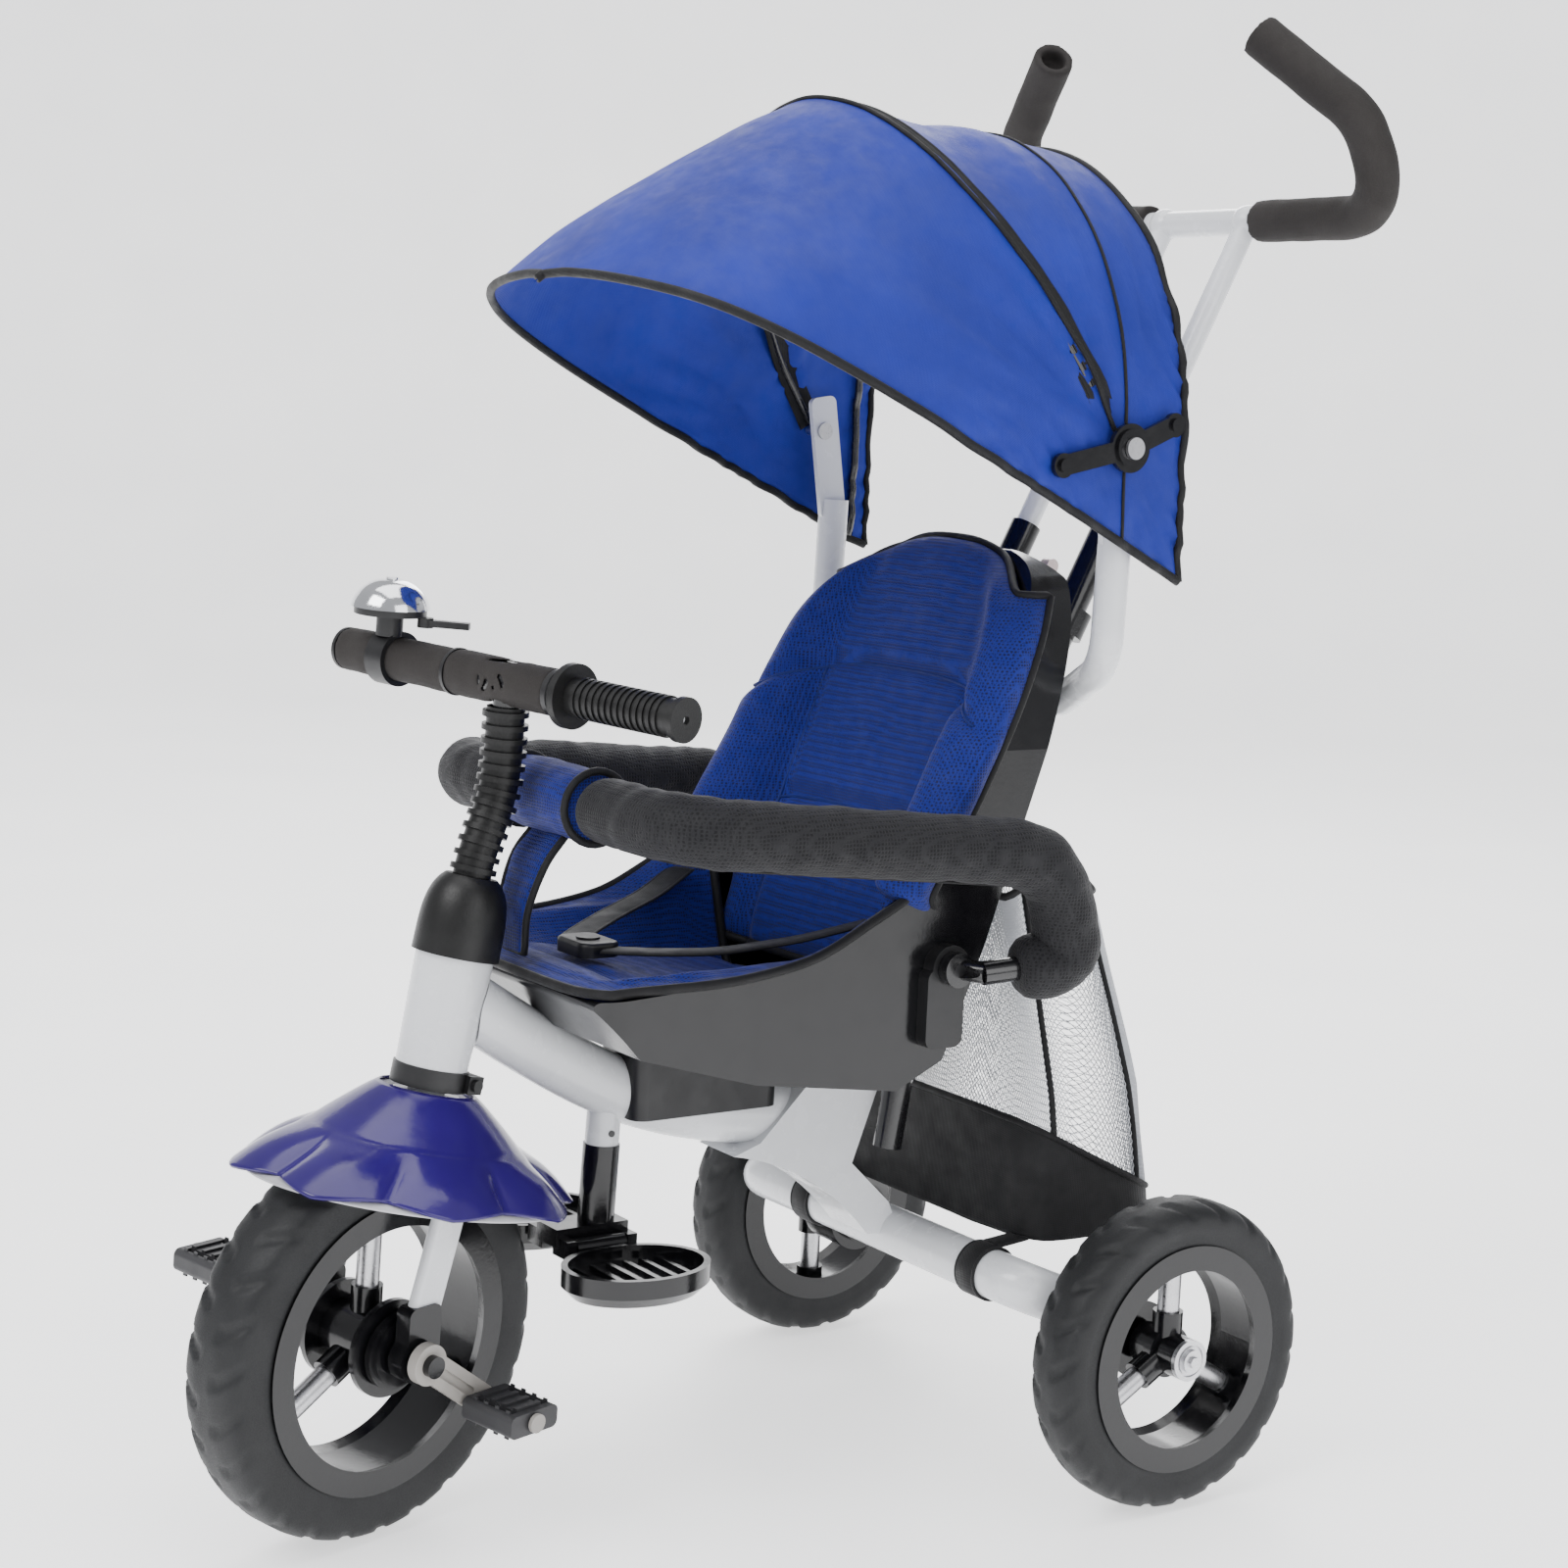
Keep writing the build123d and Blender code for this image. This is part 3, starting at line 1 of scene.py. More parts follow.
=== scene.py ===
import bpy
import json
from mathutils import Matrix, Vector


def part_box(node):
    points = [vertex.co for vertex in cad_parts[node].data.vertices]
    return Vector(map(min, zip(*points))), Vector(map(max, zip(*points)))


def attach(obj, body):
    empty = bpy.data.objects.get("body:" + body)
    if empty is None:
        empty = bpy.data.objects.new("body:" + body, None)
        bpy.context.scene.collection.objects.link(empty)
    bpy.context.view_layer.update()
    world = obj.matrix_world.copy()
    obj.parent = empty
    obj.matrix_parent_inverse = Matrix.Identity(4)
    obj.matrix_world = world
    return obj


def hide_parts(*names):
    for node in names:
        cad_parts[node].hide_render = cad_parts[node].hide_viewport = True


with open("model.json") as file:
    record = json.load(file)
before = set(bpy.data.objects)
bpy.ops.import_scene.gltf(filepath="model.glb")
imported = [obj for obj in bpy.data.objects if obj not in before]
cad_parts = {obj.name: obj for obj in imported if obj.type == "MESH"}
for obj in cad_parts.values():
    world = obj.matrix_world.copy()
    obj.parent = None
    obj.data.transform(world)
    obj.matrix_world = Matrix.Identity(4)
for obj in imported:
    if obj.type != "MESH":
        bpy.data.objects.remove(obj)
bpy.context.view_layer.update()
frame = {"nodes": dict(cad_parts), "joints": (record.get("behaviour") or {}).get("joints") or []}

import json
from math import asin, atan2, ceil, cos, exp, pi, radians, sin, sqrt

import bmesh
import bpy
from mathutils import Matrix, Vector, noise

JOINTS = {joint["name"]: joint for joint in frame["joints"]}
REAR_AXLE = (Vector(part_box("rear_left_tyre")[0]) + Vector(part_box("rear_left_tyre")[1])) / 2
MM = 0.001


# ---- places ---------------------------------------------------------------------------------------
def at(x, y, z):
    """A place in millimetres, with Y counted from the rear axle, as a vector in metres."""
    return Vector((x * MM, y * MM + REAR_AXLE.y, z * MM))


STEER_AT_REST = radians(16)
STEER_POINT = Vector(JOINTS["steering"]["pos_m"])
STEER_DIRECTION = Vector(JOINTS["steering"]["axis"]).normalized()
STEER_TURN = (
    Matrix.Translation(STEER_POINT)
    @ Matrix.Rotation(STEER_AT_REST, 4, STEER_DIRECTION)
    @ Matrix.Translation(-STEER_POINT)
)


def smooth_step(value):
    value = min(1.0, max(0.0, value))
    return value * value * (3 - 2 * value)


def table_value(table, key):
    """Smooth (Catmull-Rom) reading of rows (key, value, value, ...) at a key between them."""
    rows = sorted(table)
    key = min(max(key, rows[0][0]), rows[-1][0])
    index = 0
    while index < len(rows) - 2 and key > rows[index + 1][0]:
        index += 1
    low, high = rows[index], rows[index + 1]
    before = rows[max(index - 1, 0)]
    after = rows[min(index + 2, len(rows) - 1)]
    span = high[0] - low[0]
    t = (key - low[0]) / span
    values = []
    for column in range(1, len(low)):
        slope_low = (high[column] - before[column]) / (high[0] - before[0]) * span
        slope_high = (after[column] - low[column]) / (after[0] - low[0]) * span
        values.append(
            low[column] * (1 - 3 * t * t + 2 * t**3)
            + slope_low * (t - 2 * t * t + t**3)
            + high[column] * (3 * t * t - 2 * t**3)
            + slope_high * (t**3 - t * t)
        )
    return values


# ---- mesh building --------------------------------------------------------------------------------
def mesh_object(name, points, faces, material):
    mesh = bpy.data.meshes.new(name)
    mesh.from_pydata([tuple(p) for p in points], [], faces)
    mesh.validate()
    piece = bpy.data.objects.new(name, mesh)
    bpy.context.scene.collection.objects.link(piece)
    form = bmesh.new()
    form.from_mesh(mesh)
    bmesh.ops.recalc_face_normals(form, faces=form.faces)
    form.to_mesh(mesh)
    form.free()
    for polygon in mesh.polygons:
        polygon.use_smooth = True
    mesh.materials.append(material)
    return piece


def grid_faces(rows, columns, wrap=False):
    """Quads over a grid of points stored row by row; wrap joins the last column to the first."""
    faces = []
    for i in range(rows - 1):
        for j in range(columns if wrap else columns - 1):
            k = (j + 1) % columns
            faces.append((i * columns + j, i * columns + k, (i + 1) * columns + k, (i + 1) * columns + j))
    return faces


def apply_modifiers(piece):
    """Bakes every modifier of a piece into its mesh."""
    graph = bpy.context.evaluated_depsgraph_get()
    mesh = bpy.data.meshes.new_from_object(piece.evaluated_get(graph))
    piece.modifiers.clear()
    piece.data = mesh
    for polygon in mesh.polygons:
        polygon.use_smooth = True


def round_corners(corners, radius, closed=False, steps=8):
    """Points along straight legs whose corners are rounded by quadratic bends."""
    corners = [Vector(c) for c in corners]
    path = []
    count = len(corners)
    for i, corner in enumerate(corners):
        if not closed and i in (0, count - 1):
            path.append(corner)
            continue
        before = corners[i - 1] - corner
        after = corners[(i + 1) % count] - corner
        reach = min(radius, before.length * 0.48, after.length * 0.48)
        start = corner + before.normalized() * reach
        end = corner + after.normalized() * reach
        for step in range(steps + 1):
            t = step / steps
            path.append(start * (1 - t) ** 2 + corner * 2 * t * (1 - t) + end * t * t)
    return path


def resample(path, spacing, closed=False):
    """The same line with its points evenly spaced."""
    points = list(path) + ([path[0]] if closed else [])
    lengths = [0.0]
    for a, b in zip(points, points[1:]):
        lengths.append(lengths[-1] + (b - a).length)
    count = max(3, ceil(lengths[-1] / spacing))
    result = []
    index = 0
    for i in range(count + (0 if closed else 1)):
        target = lengths[-1] * i / count
        while index < len(lengths) - 2 and lengths[index + 1] < target:
            index += 1
        run = lengths[index + 1] - lengths[index]
        share = (target - lengths[index]) / run if run > 0 else 0
        result.append(points[index].lerp(points[index + 1], share))
    return result


def frames_along(path, closed=False):
    """(point, side, up) at each point of a line, turned as little as possible from one to the next."""
    count = len(path)
    frames = []
    side = None
    for i in range(count):
        if closed:
            ahead, behind = path[(i + 1) % count], path[i - 1]
        else:
            ahead, behind = path[min(i + 1, count - 1)], path[max(i - 1, 0)]
        forward = (ahead - behind).normalized()
        if side is None:
            helper = Vector((0, 0, 1)) if abs(forward.z) < 0.9 else Vector((0, 1, 0))
            side = forward.cross(helper).normalized()
        side = (side - forward * side.dot(forward)).normalized()
        frames.append((path[i], side, forward.cross(side)))
    return frames


def tube(name, path, radius, material, sides=12, closed=False, shape=None):
    """A round tube along a line. shape(t, angle) may scale the radius, with t from 0 to 1 along it."""
    points = []
    frames = frames_along(path, closed)
    for i, (centre, side, up) in enumerate(frames):
        for j in range(sides):
            angle = 2 * pi * j / sides
            reach = radius * (shape(i / (len(frames) - 1), angle) if shape else 1)
            points.append(centre + side * cos(angle) * reach + up * sin(angle) * reach)
    faces = grid_faces(len(frames), sides, wrap=True)
    if closed:
        last = (len(frames) - 1) * sides
        for j in range(sides):
            k = (j + 1) % sides
            faces.append((last + j, last + k, k, j))
    else:
        last = (len(frames) - 1) * sides
        faces.append(tuple(range(sides)))
        faces.append(tuple(range(last, last + sides)))
    return mesh_object(name, points, faces, material)


def band(name, path, across, width, thickness, material, round_edge=0.35):
    """A flat strap along a line; across(t) gives its width direction at t from 0 to 1."""
    count = len(path)
    points = []
    half = width / 2
    edge = thickness * round_edge
    outline = [
        (-half, 0), (-half + edge, thickness / 2), (-half * 0.82, thickness / 2),
        (-half * 0.8, thickness * 0.36),
        (-half * 0.76, thickness / 2), (half * 0.76, thickness / 2), (half * 0.8, thickness * 0.36),
        (half * 0.82, thickness / 2), (half - edge, thickness / 2), (half, 0),
        (half - edge, -thickness / 2),
        (-half + edge, -thickness / 2),
    ]
    for i, centre in enumerate(path):
        forward = (path[min(i + 1, count - 1)] - path[max(i - 1, 0)]).normalized()
        side = Vector(across(i / (count - 1)))
        side = (side - forward * side.dot(forward)).normalized()
        up = forward.cross(side)
        points += [centre + side * a + up * b for a, b in outline]
    faces = grid_faces(count, len(outline), wrap=True)
    last = (count - 1) * len(outline)
    faces.append(tuple(range(len(outline))))
    faces.append(tuple(range(last, last + len(outline))))
    return mesh_object(name, points, faces, material)


def wrinkle(piece, depth, size, stretch=(1, 1, 1)):
    """Moves every point along its normal by smooth noise, for the uneven look of cloth."""
    mesh = piece.data
    moves = []
    for vertex in mesh.vertices:
        spot = Vector([vertex.co[i] * stretch[i] / size for i in range(3)])
        moves.append(vertex.normal * noise.noise(spot) * depth)
    for vertex, move in zip(mesh.vertices, moves):
        vertex.co += move
    mesh.update()


def soften(name, node, material, voxel, depth, size, rounds=6):
    """A soft copy of a CAD piece: remeshed evenly, its corners eased, and slightly uneven."""
    piece = bpy.data.objects.new(name, frame["nodes"][node].data.copy())
    bpy.context.scene.collection.objects.link(piece)
    remesh = piece.modifiers.new("Even", "REMESH")
    remesh.mode = "VOXEL"
    remesh.voxel_size = voxel
    ease = piece.modifiers.new("Ease", "SMOOTH")
    ease.factor = 0.5
    ease.iterations = rounds
    apply_modifiers(piece)
    wrinkle(piece, depth, size)
    piece.data.materials.clear()
    piece.data.materials.append(material)
    return piece


def puff(piece, limits, pressure=4.0):
    """Inflates a closed cloth form for twenty frames, each point kept within its limit."""
    start = [vertex.co.copy() for vertex in piece.data.vertices]
    cloth = piece.modifiers.new("Cloth", "CLOTH")
    cloth.settings.use_pressure = True
    cloth.settings.uniform_pressure_force = pressure
    cloth.settings.quality = 5
    cloth.settings.effector_weights.gravity = 0
    cloth.settings.tension_stiffness = 18
    cloth.settings.bending_stiffness = 2.5
    scene = bpy.context.scene
    for step in range(1, 21):
        scene.frame_set(step)
    graph = bpy.context.evaluated_depsgraph_get()
    swollen = piece.evaluated_get(graph).to_mesh()
    ends = [vertex.co.copy() for vertex in swollen.vertices]
    piece.evaluated_get(graph).to_mesh_clear()
    piece.modifiers.clear()
    scene.frame_set(1)
    for vertex, low, high, limit in zip(piece.data.vertices, start, ends, limits):
        move = high - low
        if move.length > limit:
            move = move.normalized() * limit
        vertex.co = low + move
    piece.data.update()


# ---- materials ------------------------------------------------------------------------------------
class Shader:
    """A Principled material built from nodes that read the piece's own coordinates."""

    def __init__(self, name, roughness, metallic=0.0):
        self.material = bpy.data.materials.new(name)
        self.material.use_nodes = True
        self.tree = self.material.node_tree
        self.bsdf = self.tree.nodes["Principled BSDF"]
        self.bsdf.inputs["Roughness"].default_value = roughness
        self.bsdf.inputs["Metallic"].default_value = metallic
        self.place = self.node("ShaderNodeTexCoord").outputs["Object"]

    def node(self, kind, **inputs):
        made = self.tree.nodes.new(kind)
        for key, value in inputs.items():
            self.feed(made.inputs[key.replace("_", " ")], value)
        return made

    def feed(self, socket, value):
        if isinstance(value, bpy.types.NodeSocket):
            self.tree.links.new(value, socket)
        else:
            socket.default_value = value

    def math(self, operation, first, second=0.0):
        made = self.tree.nodes.new("ShaderNodeMath")
        made.operation = operation
        self.feed(made.inputs[0], first)
        self.feed(made.inputs[1], second)
        return made.outputs[0]

    def stretched(self, scale):
        mapping = self.node("ShaderNodeMapping", Vector=self.place)
        mapping.inputs["Scale"].default_value = scale
        return mapping.outputs[0]

    def noise(self, scale, detail=3.0, stretch=None, roughness=0.55):
        place = self.stretched(stretch) if stretch else self.place
        made = self.node("ShaderNodeTexNoise", Vector=place, Scale=scale, Detail=detail)
        made.inputs["Roughness"].default_value = roughness
        return made.outputs["Fac"]

    def cells(self, scale, feature="DISTANCE_TO_EDGE"):
        made = self.tree.nodes.new("ShaderNodeTexVoronoi")
        made.feature = feature
        self.feed(made.inputs["Vector"], self.place)
        made.inputs["Scale"].default_value = scale
        made.inputs["Randomness"].default_value = 0.25
        return made.outputs["Distance"]

    def ramp(self, value, low, high, low_value=0.0, high_value=1.0):
        made = self.node("ShaderNodeMapRange", Value=value)
        made.inputs["From Min"].default_value = low
        made.inputs["From Max"].default_value = high
        made.inputs["To Min"].default_value = low_value
        made.inputs["To Max"].default_value = high_value
        return made.outputs[0]

    def blend_colours(self, factor, first, second):
        made = self.tree.nodes.new("ShaderNodeMix")
        made.data_type = "RGBA"
        self.feed(made.inputs[0], factor)
        made.inputs[6].default_value = (*first, 1)
        made.inputs[7].default_value = (*second, 1)
        return made.outputs[2]

    def colour(self, value):
        self.feed(self.bsdf.inputs["Base Color"], value)

    def rough(self, value):
        self.feed(self.bsdf.inputs["Roughness"], value)

    def bump(self, height, strength, distance):
        made = self.node("ShaderNodeBump", Height=height)
        made.inputs["Strength"].default_value = strength
        made.inputs["Distance"].default_value = distance
        self.feed(self.bsdf.inputs["Normal"], made.outputs[0])


def shade(colour, factor):
    return tuple(c * factor for c in colour)


def painted(name, colour):
    """Gloss stoved paint with a little orange peel and faint handling marks."""
    s = Shader(name, 0.22)
    s.colour(s.blend_colours(s.ramp(s.noise(9), 0.35, 0.7), shade(colour, 0.93), colour))
    s.rough(s.ramp(s.noise(70, 5), 0.3, 0.75, 0.16, 0.34))
    s.bump(s.noise(420, 2), 0.12, 0.0004)
    s.bsdf.inputs["Coat Weight"].default_value = 0.5
    s.bsdf.inputs["Coat Roughness"].default_value = 0.08
    return s.material


def plastic(name, colour, low_rough, high_rough, grain):
    """Moulded plastic: even colour, soft mould texture and slightly worn patches."""
    s = Shader(name, low_rough)
    s.colour(s.blend_colours(s.ramp(s.noise(14), 0.35, 0.7), shade(colour, 0.86), shade(colour, 1.08)))
    s.rough(s.ramp(s.noise(55, 5), 0.3, 0.72, low_rough, high_rough))
    s.bump(s.noise(grain, 3), 0.16, 0.0005)
    s.bsdf.inputs["Specular IOR Level"].default_value = 0.5
    return s.material


def metal(name, colour, low_rough, high_rough, stretch):
    """Bare metal with fine drawn lines along one direction."""
    s = Shader(name, low_rough, metallic=1.0)
    lines = s.noise(900, 4, stretch=stretch)
    s.colour(s.blend_colours(s.ramp(s.noise(30), 0.3, 0.7), shade(colour, 0.82), colour))
    s.rough(s.ramp(lines, 0.3, 0.7, low_rough, high_rough))
    s.bump(lines, 0.12, 0.0003)
    return s.material


def rubber(name, colour, rough, grain, depth):
    """Dull rubber or foam skin with fine pores and dusty patches."""
    s = Shader(name, rough)
    pores = s.noise(grain, 4)
    dust = s.ramp(s.noise(22, 5), 0.42, 0.75)
    s.colour(s.blend_colours(dust, colour, tuple(c * 1.25 + 0.006 for c in colour)))
    s.rough(s.ramp(pores, 0.25, 0.75, rough - 0.1, min(1.0, rough + 0.1)))
    s.bump(pores, 0.35, depth)
    s.bsdf.inputs["Specular IOR Level"].default_value = 0.35
    return s.material


def woven(name, colour, threads, sheen):
    """Plain woven nylon: crossed threads, soft folds painted into the colour as shade and highlight, and a
    faint sheen.
    """
    s = Shader(name, 0.62)
    first = s.stretched((threads, threads, threads))
    split = s.node("ShaderNodeSeparateXYZ", Vector=first)
    warp = s.math("SINE", s.math("ADD", split.outputs[0], split.outputs[1]))
    weft = s.math("SINE", s.math("ADD", split.outputs[2], split.outputs[1]))
    weave = s.math("MULTIPLY", s.math("ADD", warp, 1.0), s.math("ADD", weft, 1.0))
    # painted shade and highlight: the colour goes darker and lighter in soft patches that stand in for
    # light on folds
    folds = s.ramp(s.noise(11, 4), 0.3, 0.72)
    s.colour(s.blend_colours(folds, shade(colour, 0.8), shade(colour, 1.1)))
    s.rough(s.ramp(s.noise(60, 3), 0.3, 0.7, 0.5, 0.72))
    s.bump(s.math("ADD", weave, s.math("MULTIPLY", s.noise(26, 4), 6.0)), 0.25, 0.0004)
    s.bsdf.inputs["Sheen Weight"].default_value = sheen
    s.bsdf.inputs["Sheen Roughness"].default_value = 0.45
    s.bsdf.inputs["Specular IOR Level"].default_value = 0.3
    return s.material


def air_mesh(name, colour, hole_shade_colour, cells):
    """Spacer mesh: raised knitted rims round small holes, with shade painted into the holes as a dark
    colour.
    """
    s = Shader(name, 0.7)
    edge = s.cells(cells)
    rims = s.ramp(edge, 0.08, 0.3)
    # painted shade: the holes take a dark colour, standing in for the shade inside them
    s.colour(s.blend_colours(rims, colour, hole_shade_colour))
    s.rough(s.ramp(s.noise(80, 3), 0.3, 0.7, 0.6, 0.85))
    s.bump(s.math("SUBTRACT", 1.0, rims), 0.55, 0.0008)
    s.bsdf.inputs["Sheen Weight"].default_value = 0.08
    s.bsdf.inputs["Sheen Roughness"].default_value = 0.5
    s.bsdf.inputs["Specular IOR Level"].default_value = 0.25
    return s.material


MATERIAL = {
    "frame_paint": painted("frame_paint", (0.74, 0.755, 0.78)),
    "black_paint": painted("black_paint", (0.006, 0.006, 0.007)),
    "black_gloss": plastic("black_gloss", (0.005, 0.005, 0.006), 0.12, 0.24, 260),
    "satin_black": plastic("satin_black", (0.008, 0.008, 0.009), 0.32, 0.48, 900),
    "indigo": plastic("indigo", (0.022, 0.008, 0.13), 0.12, 0.22, 240),
    "grey_plastic": plastic("grey_plastic", (0.5, 0.5, 0.53), 0.32, 0.48, 500),
    "arm_grey": plastic("arm_grey", (0.36, 0.34, 0.315), 0.3, 0.46, 500),
    "pedal_grey": plastic("pedal_grey", (0.03, 0.03, 0.033), 0.42, 0.6, 900),
    "lever_pink": plastic("lever_pink", (0.72, 0.6, 0.58), 0.22, 0.36, 400),
    "chrome": metal("chrome", (0.82, 0.83, 0.85), 0.05, 0.16, (1, 1, 1)),
    "bright": metal("bright", (0.62, 0.62, 0.64), 0.24, 0.42, (0.15, 1, 1)),
    "tyre": rubber("tyre", (0.007, 0.0075, 0.0085), 0.56, 900, 0.0004),
    "boot": rubber("boot", (0.005, 0.005, 0.005), 0.4, 700, 0.0003),
    "foam": rubber("foam", (0.02, 0.0175, 0.0165), 0.84, 1300, 0.0009),
    "grip_rubber": rubber("grip_rubber", (0.006, 0.006, 0.006), 0.46, 900, 0.0004),
    "canopy": woven("canopy", (0.008, 0.022, 0.28), 5200, 0.04),
    "canopy_inside": woven("canopy_inside", (0.012, 0.03, 0.33), 5200, 0.04),
    "binding": woven("binding", (0.004, 0.004, 0.005), 4200, 0.05),
    "strap": woven("strap", (0.006, 0.006, 0.007), 3600, 0.05),
    "bag_cloth": woven("bag_cloth", (0.005, 0.005, 0.006), 3600, 0.08),
    "net": woven("net", (0.62, 0.64, 0.68), 5200, 0.2),
    "seam_thread": woven("seam_thread", (0.004, 0.012, 0.13), 5200, 0.05),
    # each mesh's second colour is painted shade in its holes
    "seat_mesh": air_mesh("seat_mesh", (0.006, 0.016, 0.2), (0.001, 0.002, 0.035), 420),
    "wrap_mesh": air_mesh("wrap_mesh", (0.006, 0.016, 0.2), (0.001, 0.002, 0.035), 420),
    "sleeve_mesh": air_mesh("sleeve_mesh", (0.012, 0.012, 0.014), (0.002, 0.002, 0.003), 360),
}

CAD_FINISH = {
    "frame_paint": [
        "head_tube", "main_tube", "rear_tube", "hood_frame", "handle_stems", "fork", "handlebar_tube",
    ],
    "black_paint": ["back_posts", "guard_tube", "steering_stem", "hood_hoops"],
    "black_gloss": [
        "rear_axles", "seat_shell", "footrest_post", "footrest_left", "footrest_right", "fork_dropouts",
        "front_rim", "front_hub", "rear_left_rim", "rear_right_rim", "rear_left_hub", "rear_right_hub",
        "handle_clamp", "hood_brackets", "hood_rivets",
    ],
    "satin_black": [
        "seat_brackets", "steering_clamp", "bell_base", "bell_lever", "bar_trim", "belt_buckle",
    ],
    "pedal_grey": ["pedal_left", "pedal_right"],
    "arm_grey": ["cranks"],
    "lever_pink": ["handle_clamp_lever"],
    "chrome": ["bell_dome"],
    "bright": ["front_spokes", "rear_left_spokes", "rear_right_spokes", "hood_pivot_bolts"],
    "boot": ["head_cap", "steering_boot"],
    "grip_rubber": ["bar_grip_left"],
}


def finish_cad():
    """Gives every CAD piece that stays in view its finish."""
    for finish, nodes in CAD_FINISH.items():
        for node in nodes:
            slots = frame["nodes"][node].data.materials
            slots.clear()
            slots.append(MATERIAL[finish])


# ---- tyres ----------------------------------------------------------------------------------------
def treaded_tyre(name, node, joint, radius, half_width, bead, lugs):
    """A tyre with curved lateral grooves, two round grooves and ribbed sidewalls."""
    spin = JOINTS[joint]
    axis = Vector(spin["axis"]).normalized()
    centre = Vector(spin["pos_m"])
    up = (Vector((0, 0, 1)) - axis * axis.z).normalized()
    back = axis.cross(up)
    shoulder = radius - 17 * MM
    profile = []
    for i in range(6):
        t = i / 5
        profile.append((half_width * (0.93 + 0.07 * sin(pi / 2 * t)), bead + (shoulder - bead) * t))
    for i in range(1, 25):
        angle = pi * i / 25
        x = half_width * cos(angle)
        profile.append((x, shoulder + (radius - shoulder) * sin(angle) ** 0.62))
    for i in range(6):
        t = 1 - i / 5
        profile.append((-half_width * (0.93 + 0.07 * sin(pi / 2 * t)), bead + (shoulder - bead) * t))
    turns = lugs * 12
    points = []
    for i in range(turns):
        for x, r in profile:
            lateral = x / half_width
            phase = i / 12 + 0.5 * lateral * lateral + (0.5 if x > 0 else 0)
            slot = abs(phase - round(phase))
            outer = smooth_step((r - shoulder - 3 * MM) / (5 * MM))
            away = smooth_step((abs(lateral) - 0.16) / 0.1)
            cut = 2.2 * MM * (1 - smooth_step((slot - 0.1) / 0.08)) * outer * away
            ring_cut = 1.8 * MM * exp(-(((abs(lateral) - 0.12) / 0.05) ** 2)) * outer
            rib = 0.7 * MM * exp(-(((r - bead - 12 * MM) / (1.3 * MM)) ** 2))
            reach = r - max(cut, ring_cut)
            side = x - (rib if x > 0 else -rib)
            angle = 2 * pi * i / turns
            points.append(centre + axis * side + (up * cos(angle) + back * sin(angle)) * reach)
    columns = len(profile)
    faces = grid_faces(turns, columns, wrap=True)
    last = (turns - 1) * columns
    for j in range(columns):
        k = (j + 1) % columns
        faces.append((last + j, last + k, k, j))
    piece = mesh_object(name, points, faces, MATERIAL["tyre"])
    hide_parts(node)
    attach(piece, spin["child"])


def tyres():
    treaded_tyre("front_tyre_tread", "front_tyre", "front_wheel_spin", 0.146, 0.029, 0.1052, 26)
    treaded_tyre("rear_left_tyre_tread", "rear_left_tyre", "rear_left_spin", 0.120, 0.024, 0.0842, 22)
    treaded_tyre("rear_right_tyre_tread", "rear_right_tyre", "rear_right_spin", 0.120, 0.024, 0.0842, 22)


# ---- mudguard -------------------------------------------------------------------------------------
FENDER_ORIGIN = at(0, -511, 341)
FENDER_SIDE = (STEER_TURN.to_3x3() @ Vector((1, 0, 0))).normalized()
FENDER_AHEAD = STEER_DIRECTION.cross(FENDER_SIDE)
PETALS = 8
FENDER_COLUMNS = PETALS * 24


def fender_spot(angle, wide, long, height):
    """A place on an oval round the steering axis, with the height counted from the head tube's foot."""
    spot = FENDER_SIDE * cos(angle) * wide + FENDER_AHEAD * sin(angle) * long
    return FENDER_ORIGIN + (spot + STEER_DIRECTION * height) * MM


def finish_shell(piece, thickness, node):
    """Gives a mudguard surface its wall and hands it to the steering body."""
    wall = piece.modifiers.new("Wall", "SOLIDIFY")
    wall.thickness = thickness
    wall.offset = -1
    apply_modifiers(piece)
    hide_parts(node)
    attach(piece, "steering")


def fender_cover():
    """Petalled mudguard: a smooth cone, a step, and eight pointed petals with creases between them."""
    rows, columns = 44, FENDER_COLUMNS
    points = []
    for i in range(rows):
        t = i / (rows - 1)
        for j in range(columns):
            angle = 2 * pi * j / columns
            part = (angle * PETALS / (2 * pi)) % 1
            off = abs(part - 0.5) * 2
            if t < 0.42:
                s = t / 0.42
                wide, long = 35 + 37 * s**0.9, 35 + 45 * s**0.9
                height = -16 - 34 * s
                swell = 0.0
            else:
                s = (t - 0.42) / 0.58
                reach = s * (1 - 0.24 * off**1.3)
                lip = 2.6 * smooth_step(s / 0.06)
                wide, long = 72 + lip + 38 * reach**1.15, 80 + lip + 58 * reach**1.15
                height = -50 - 39 * reach**0.9
                swell = 6.5 * sin(pi * min(1.0, s * 0.9)) * (1 - off * off) - 2.0 * s * off**6
            points.append(fender_spot(angle, wide + 0.5 * swell, long + 0.5 * swell, height + swell))
    faces = grid_faces(rows, columns, wrap=True)
    cover = mesh_object("fender_petals", points, faces, MATERIAL["indigo"])
    finish_shell(cover, 0.0024, "fender_cover")


def fender_lining():
    """Grey lining just inside the petals, seen between their tips."""
    rows = 10
    points = []
    for i in range(rows):
        reach = 0.3 + 0.66 * i / (rows - 1)
        wide, long = 67 + 38 * reach**1.15, 75 + 58 * reach**1.15
        height = -(50 + 39 * reach**0.9)
        for j in range(FENDER_COLUMNS):
            points.append(fender_spot(2 * pi * j / FENDER_COLUMNS, wide, long, height))
    faces = grid_faces(rows, FENDER_COLUMNS, wrap=True)
    lining = mesh_object("fender_lining", points, faces, MATERIAL["grey_plastic"])
    finish_shell(lining, 0.0018, "fender_liner")


# ---- hood -----------------------------------------------------------------------------------------
PIVOT = at(0, -65, 802)
